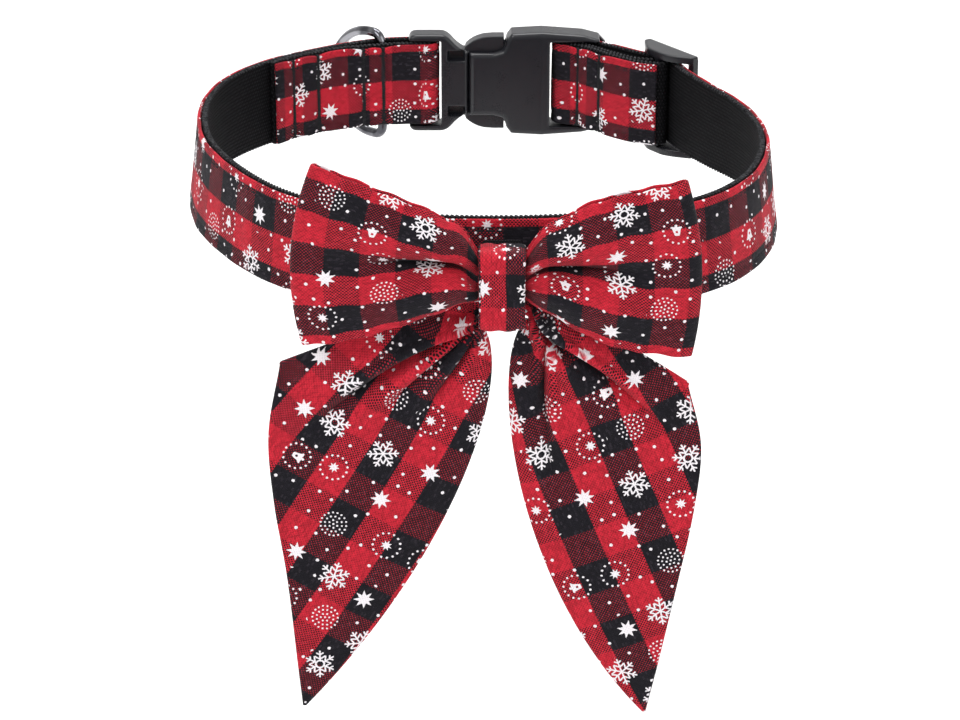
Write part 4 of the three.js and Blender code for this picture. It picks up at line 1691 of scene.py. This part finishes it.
@dataclass
class BowLoop:
    """The bow's loop: one band of cloth that runs round both wings and closes inside the knot."""

    left: Wing = field(default_factory=lambda: LEFT_WING)
    right: Wing = field(default_factory=lambda: RIGHT_WING)
    thick: float = 0.95
    cut_height: float = 50.4
    cut_length: float = 211.0
    printed_from: tuple[float, float] = (36.0, 9.0)
    lower_strip: float = 0.9
    across: int = 97

    def half(self, wing: Wing) -> tuple[Numbers, Numbers]:
        """Makes one wing, from the knot along its front, round its fold and back behind.

        Args:
            wing: the wing.

        Returns:
            Its points and their places on the cloth.
        """
        out = np.concatenate([np.linspace(0, 0.3, 34, endpoint=False), np.linspace(0.3, 0.95, 40)])
        turn = np.radians(np.linspace(0, 180, 15)[1:-1])
        share = np.concatenate([out, 0.95 + 0.05 * np.sin(turn), out[::-1]])
        face = np.concatenate([np.ones(len(out)), np.cos(turn), -np.ones(len(out))])
        v = np.linspace(0, 1, self.across)
        points = wing.points(share, face, v)
        steps = np.linalg.norm(np.diff(points, axis=1), axis=2)
        arcs = np.concatenate([np.zeros((len(points), 1)), np.cumsum(steps, axis=1)], axis=1)
        first_column, first_row = self.printed_from
        rows = arcs / arcs[:, -1:] * self.cut_height - self.lower_strip + first_row
        reach = lengths(points[:, int(self.across * 0.2)])
        fold = reach[len(out) + len(turn) // 2]
        stations = np.abs(fold - reach) * np.sign(fold - reach + 1e-9)
        stations = stations + wing.column_start + first_column
        return points, pairs(stations[:, None], rows)

    def build(self, cotton: bpy.types.Material) -> bpy.types.Object:
        """Builds and dresses the loop.

        Args:
            cotton: the cloth's material.

        Returns:
            The loop.
        """
        left, left_uv = self.half(self.left)
        right, right_uv = self.half(self.right)
        points = np.concatenate([left, right[::-1]])
        uv = np.concatenate([left_uv, right_uv[::-1]])
        piece = Sheet("bow_loop_cloth", points, uv, self.thick, closed=True).build()
        dress(piece, cotton, "check", BODY, "bow_loop")
        return piece


@dataclass
class Crease:
    """A valley in a tail that runs out from the knot.

    It lies at v between the edges, moved by drift near the knot until it settles, and never under
    least. It is so deep and so wide, goes out as far as reach and has a lip raised beside it.
    """

    v: float
    drift: float
    settle: float
    deep: float
    wide: float
    reach: float
    lip: float
    least: float = 0.0

    def place(self, u: Numbers) -> Numbers:
        """Where the valley lies at each distance from the knot."""
        return np.clip(self.v + self.drift * np.exp(-u / self.settle), self.least, 0.86)


@dataclass
class Tail:
    """One hanging tail: threads that leave the knot and bend twice before the slanting end."""

    name: str
    node: str
    side: int
    knot: float
    bend1: tuple[tuple[float, float], ...]
    bend2: tuple[tuple[float, float], ...]
    end: tuple[tuple[float, float], ...]
    creases: tuple[Crease, ...]
    shift: tuple[float, float]
    y: float = -85.5
    thick: float = 1.7
    mouth: tuple[float, float] = (-4.0, -10.4)
    inside: tuple[float, float] = (-4.0, -7.2)
    neck: float = 4.4
    gathered: float = 0.05
    wave: float = 0.55
    rolled: float = 1.1
    lips: tuple[tuple[float, float, float], ...] = (
        (1.0, -1.3, 0.7), (0.7, -3.6, 6.0), (0.5, 2.1, 1.6),
    )
    steps: tuple[int, int] = (150, 121)
    coarse: tuple[int, int] = (36, 41)

    def threads(self, points: Sequence[tuple[float, float]], v: Numbers) -> Numbers:
        """Finds a control point for each thread.

        Args:
            points: evenly spread control points from the upper to the inner edge.
            v: the way of each thread between the edges.

        Returns:
            One row of control points.
        """
        given = np.array(points, float)
        at = np.linspace(0, 1, len(given))
        return np.stack([column(at, given[:, k], v) for k in range(2)], axis=-1)[None]

    def surface(self) -> Numbers:
        """Places the cloth's middle surface.

        Returns:
            Rows of points out from the knot, by columns from the upper to the inner edge.
        """
        share = np.linspace(0, 1, self.steps[0])[:, None, None]
        v = np.linspace(0, 1, self.steps[1])
        u = np.clip((share - self.gathered) / (1 - self.gathered), 0, 1)
        start_z = self.mouth[0] + (self.mouth[1] - self.mouth[0]) * v
        start = np.stack([np.full_like(v, self.knot), start_z], axis=-1)[None]
        c1, c2, c3 = (self.threads(row, v) for row in (self.bend1, self.bend2, self.end))
        inner = (1 - u) ** 3 * start + 3 * (1 - u) ** 2 * u * c1
        flat = inner + 3 * (1 - u) * u**2 * c2 + u**3 * c3
        within = np.clip(1 - share[..., 0] / self.gathered, 0, 1)
        inside_z = self.inside[0] + (self.inside[1] - self.inside[0]) * v
        x = flat[..., 0] - self.side * self.neck * within
        z = flat[..., 1] + (inside_z - start_z)[None] * within
        return np.stack([x, self.y - self.relief(u[..., 0], v[None, :], z), z], axis=-1)

    def relief(self, u: Numbers, v: Numbers, z: Numbers) -> Numbers:
        """Finds how far the cloth stands forward.

        Args:
            u: the way out from the knot.
            v: the way from the upper to the inner edge.
            z: the cloth's height.

        Returns:
            The distance forward at each point.
        """
        forward = np.zeros(np.broadcast_shapes(u.shape, v.shape))
        for fold in self.creases:
            fade = (1 - smoothstep(0.2 * fold.reach, fold.reach, u)) * smoothstep(0.0, 0.06, u)
            gap = (v - fold.place(u)) / fold.wide
            forward -= fold.deep * fade * np.exp(-(np.abs(gap) ** 1.25))
            for high, at, over in self.lips:
                swell = np.exp(-((gap - at) ** 2) / over)
                forward += fold.lip * high * fade * swell
        gentle = self.wave * np.sin(5.2 * v + 3.1 * u + self.side) * smoothstep(0.15, 0.6, u)
        inner_roll = -self.rolled * smoothstep(0.9, 1.0, v) * smoothstep(0.02, 0.2, u)
        clear = smoothstep(9.0, 20.0, -z)
        forward += gentle + inner_roll
        return forward * np.where(forward > 0, 0.6 + 0.4 * clear, 0.35 + 0.65 * clear)

    def places(self, points: Numbers) -> Numbers:
        """Lays the tail flat, to find each point's place on the cloth.

        The threads' own lengths and gaps give the first guess.

        Args:
            points: the middle surface.

        Returns:
            The place along the weft and across it at each point.
        """
        steps = np.linalg.norm(np.diff(points, axis=0), axis=2)
        along = np.concatenate([np.zeros((1, points.shape[1])), np.cumsum(steps, axis=0)])
        thread = unit(np.gradient(points, axis=0))
        gaps = np.gradient(points, axis=1)
        gaps = np.linalg.norm(gaps - thread * (gaps * thread).sum(axis=2, keepdims=True), axis=2)
        from_inner = np.cumsum(gaps[:, ::-1], axis=1)[:, ::-1] - gaps[:, -1:]
        start = self.shift[0] - along[-1:, -1]
        guess = np.stack([along + start, from_inner + self.shift[1]], axis=-1)
        counts = zip(self.steps, self.coarse)
        rows, cols = (np.linspace(0, n - 1, k).round().astype(int) for n, k in counts)
        few = np.ix_(rows, cols)
        flat = unrolled(points[few], guess[few])
        return np.stack([self.between(flat[..., k], rows, cols) for k in range(2)], axis=-1)

    def between(self, values: Numbers, rows: Numbers, cols: Numbers) -> Numbers:
        """Fills in the values between a few rows and columns.

        Args:
            values: the value where they cross.
            rows: the rows' numbers.
            cols: the columns' numbers.

        Returns:
            The value at every row and column.
        """
        down = np.array([np.interp(np.arange(self.steps[0]), rows, line) for line in values.T])
        return np.array([np.interp(np.arange(self.steps[1]), cols, line) for line in down.T])

    def build(self, cotton: bpy.types.Material) -> bpy.types.Object:
        """Builds and dresses the tail.

        Args:
            cotton: the cloth's material.

        Returns:
            The tail.
        """
        points = self.surface()
        places = self.places(points)
        piece = Sheet(self.name, points, places, self.thick, alike=True).build()
        dress(piece, cotton, "check", BODY, self.node)
        (wide, tall), area = flat_cut(places)
        LOG.info("%s: cut %.1f by %.1f mm, %.0f square mm", self.name, tall, wide, area)
        size = (tall * MM, wide * MM)
        area * MM**2
        return piece


@dataclass
class Knot:
    """The band of cloth round the bow's waist."""

    left: float = -0.8
    right: float = 11.2
    top: float = 10.5
    bottom: float = -11.1
    front: float = -96.2
    back: float = -82.6
    thick: float = 1.5
    corner: float = 3.2
    slope: tuple[float, float] = (6.0, 9.0)
    printed_at: tuple[float, float] = (34.0, 25.9)
    printed_half: float = 6.0
    waist: float = 0.035
    hollow: float = 0.45
    rolled: float = 0.55
    pleat: float = 0.16
    columns: int = 41

    def outline(self) -> Numbers:
        """Draws the band's middle line as seen from the side.

        Returns:
            Rows of y and z, from the middle of its back.
        """
        y0, y1 = self.front + self.thick / 2, self.back - self.thick / 2
        z0, z1 = self.bottom + self.thick / 2, self.top - self.thick / 2
        r = self.corner - self.thick / 2
        long, deep = (s - self.thick / 2 for s in self.slope)
        corners = [
            ((y1, z1 - deep), (y1, z1), (y1 - long, z1)),
            ((y0 + r, z1), (y0, z1), (y0, z1 - r)),
            ((y0, z0 + r), (y0, z0), (y0 + r, z0)),
            ((y1 - r, z0), (y1, z0), (y1, z0 + r)),
        ]
        t = np.linspace(0, 1, 14)[:, None]
        line = [np.array([(y1, (z0 + z1) / 2)])]
        for a, b, c in corners:
            a, b, c = (np.array(p) for p in (a, b, c))
            line.append((1 - t) ** 2 * a + 2 * t * (1 - t) * b + t**2 * c)
        return spaced(np.vstack([*line, line[0]]), 0.35)[:-1]

    def build(self, cotton: bpy.types.Material) -> bpy.types.Object:
        """Builds and dresses the knot.

        Args:
            cotton: the cloth's material.

        Returns:
            The knot.
        """
        line = self.outline()
        at = lengths(line)
        front = int((line[:, 0] + 0.02 * np.abs(line[:, 1] + 1.8)).argmin())
        w = np.linspace(-1, 1, self.columns)
        centre, half = (self.left + self.right) / 2, (self.right - self.left - self.thick) / 2
        core = np.array([(self.front + self.back) / 2, 0.5 * (self.top + self.bottom)])
        inward = unit(core - line)
        z = line[:, 1]
        waist = 1 - self.waist * np.cos(math.pi * (z - z.mean()) / 22.0)
        hollow = self.hollow * smoothstep(4.0, 10.0, z)[:, None] * (1 - w[None, :] ** 2)
        roll = self.rolled * np.abs(w[None, :]) ** 5
        pleat = self.pleat * np.sin(7.0 * w[None, :] + 0.35 * z[:, None]) * (1 - w[None, :] ** 2)
        drawn = (hollow + roll + pleat)[..., None] * inward[:, None]
        points = np.empty((len(line), self.columns, 3))
        points[..., 0] = centre + half * w[None, :] * waist[:, None]
        points[..., 1:] = line[:, None] + drawn
        along, across = self.printed_at
        weft, warp = at[:, None] - at[front] + along, self.printed_half * w[None, :] + across
        uv = pairs(weft, warp)
        piece = Sheet("bow_knot_cloth", points, uv, self.thick * 0.9, closed=True).build()
        dress(piece, cotton, "check", BODY, "bow_knot")
        size = (2 * half * MM, at[-1] * MM)
        return piece


@dataclass
class Pad:
    """The patch of webbing that holds the knot to the strap."""

    thick: float = 1.9

    def build(self, webbing: bpy.types.Material) -> bpy.types.Object:
        """Builds and dresses the patch.

        Args:
            webbing: its material.

        Returns:
            The patch.
        """
        low, high = (np.array(corner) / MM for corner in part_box("bow_pad"))
        edge = self.thick / 2
        x = np.linspace(low[0] + edge, high[0] - edge, 15)
        z = np.linspace(low[2] + edge, high[2] - edge, 25)
        grid_x, grid_z = np.meshgrid(x, z, indexing="ij")
        points = np.stack([grid_x, np.full_like(grid_x, (low[1] + high[1]) / 2), grid_z], axis=-1)
        piece = Sheet("knot_patch", points, np.stack([grid_x, grid_z], axis=-1), self.thick).build()
        dress(piece, webbing, "webbing", BODY, "bow_pad")
        return piece


LEFT_TAIL = Tail(
    name="bow_tail_left_cloth",
    node="bow_tail_left",
    side=-1,
    knot=-2.6,
    bend1=((-16, -10.0), (-14, -15.0), (-8.0, -22.0), (1.5, -25.0), (10.6, -21.0)),
    bend2=((-35, -17.0), (-34, -28.0), (-30, -42.0), (-22, -60.0), (-5.3, -75.7)),
    end=((-50.4, -23.4), (-54.0, -43.0), (-53.2, -63.0), (-50.2, -86.0), (-47.2, -123.2)),
    creases=(
        Crease(0.325, 0.8, 0.12, 6.5, 0.045, 1.0, 3.4),
        Crease(0.475, 0.55, 0.12, 4.6, 0.04, 0.7, 2.0),
        Crease(0.65, 0.3, 0.12, 3.8, 0.04, 0.55, 1.8),
    ),
    shift=(28.8, 9.0),
)
RIGHT_TAIL = Tail(
    name="bow_tail_right_cloth",
    node="bow_tail_right",
    side=1,
    knot=13.0,
    bend1=((24, -11.0), (23, -15.5), (18, -23.0), (8.5, -28.0), (1.2, -20.5)),
    bend2=((38, -19.5), (40, -30.0), (37, -44.0), (29, -62.0), (8.5, -86.0)),
    end=((52.2, -29.4), (56.0, -46.0), (54.8, -64.0), (50.8, -87.0), (43.6, -125.4)),
    creases=(
        Crease(0.3, 0.35, 0.25, 6.5, 0.045, 0.95, 3.4),
        Crease(0.43, 0.2, 0.2, 4.2, 0.035, 0.6, 1.4),
        Crease(0.95, -0.9, 0.23, 5.6, 0.05, 0.65, 2.4, 0.52),
    ),
    shift=(23.2, 3.2),
)


# ---- Studio ----------------------------------------------------------------------------------


@dataclass
class Studio:
    """A pale floor, soft lights and the camera."""

    aside: float = -0.3
    ahead: float = -774.5
    above: float = 284.2
    pitch: float = 24.0
    lens: float = 111.4
    floor_gap: float = 34.0
    lights: tuple[tuple[str, tuple[float, float, float], float, float], ...] = (
        ("key_light", (-0.75, -0.95, 1.25), 0.9, 17.0),
        ("fill_light", (1.1, -0.8, 0.7), 1.1, 6.0),
        ("top_light", (0.1, 0.45, 1.35), 0.9, 18.0),
    )
    sky: float = 0.6

    def camera(self) -> None:
        """Places the camera in front of the bow, looking a little down."""
        lens = bpy.data.cameras.new("camera")
        lens.lens = self.lens
        lens.sensor_width = 36.0
        camera = link("camera", lens)
        pitch = math.radians(self.pitch)
        camera.location = (self.aside * MM, self.ahead * MM, self.above * MM)
        camera.rotation_euler = (math.pi / 2 - pitch, 0.0, 0.0)
        bpy.context.scene.camera = camera

    def floor(self) -> None:
        """Lays a wide floor below the tails, which rises behind in one smooth curve."""
        low = CAD_BOX[0].z - self.floor_gap * MM
        bend = np.radians(np.linspace(0, 90, 13))
        curve = [(1.2 + 0.8 * math.sin(a), low + 0.8 * (1 - math.cos(a))) for a in bend]
        rows = [(-2.5, low), *curve, (2.0, low + 3.0)]
        points = [(x, y, z) for y, z in rows for x in (-3.0, 3.0)]
        faces = [(2 * i, 2 * i + 1, 2 * i + 3, 2 * i + 2) for i in range(len(rows) - 1)]
        mesh = bpy.data.meshes.new("floor")
        mesh.from_pydata(points, [], faces)
        floor = link("floor", mesh)
        made = Finish("pale_paper")
        place = made.place()
        cloud = made.noise(place, 3.0, 2.0)
        made.set(Base_Color=made.blend(cloud, (0.93, 0.93, 0.93), (0.955, 0.955, 0.955)))
        made.set(Roughness=0.9, Specular_IOR_Level=0.1)
        mesh.materials.append(made.material)

    def light(
        self, name: str, place: tuple[float, float, float], size: float, power: float
    ) -> None:
        """Hangs a soft square light that faces the collar.

        Args:
            name: the light's name.
            place: where it hangs.
            size: the length of its side.
            power: its power in watts.
        """
        data = bpy.data.lights.new(name, "AREA")
        data.size = size
        data.energy = power
        lamp = link(name, data)
        lamp.location = place
        aim = Vector((0, 0, -0.02)) - Vector(place)
        lamp.rotation_euler = aim.to_track_quat("-Z", "Y").to_euler()

    def build(self) -> None:
        """Sets up the studio."""
        self.camera()
        self.floor()
        for light in self.lights:
            self.light(*light)
        world = bpy.data.worlds.new("studio")
        world.use_nodes = True
        sky = world.node_tree.nodes["Background"]
        sky.inputs["Color"].default_value = (1, 1, 1, 1)
        sky.inputs["Strength"].default_value = self.sky
        bpy.context.scene.world = world
        bpy.context.scene.view_settings.view_transform = "Standard"


def main() -> None:
    """Builds the collar piece by piece."""
    logging.basicConfig(level=logging.INFO, format="%(message)s")
    Studio().build()
    finishes = Finishes()
    Strap().build(finishes)
    for moulded in (
        MouldedPiece("buckle_prongs", "buckle_prong_half", pocket=(-9.6, -5.1, 7.2, 10.0)),
        MouldedPiece("buckle_socket", "buckle_socket_half", voxel=0.3, crown=0.12),
        MouldedPiece("strap_adjuster", "strap_slider", voxel=0.3),
    ):
        moulded.build(finishes.plastic)
    LeashRing().build(finishes.steel)
    BowLoop().build(finishes.cotton)
    LEFT_TAIL.build(finishes.cotton)
    RIGHT_TAIL.build(finishes.cotton)
    Knot().build(finishes.cotton)
    Pad().build(finishes.webbing)


if __name__ == "__main__":
    main()
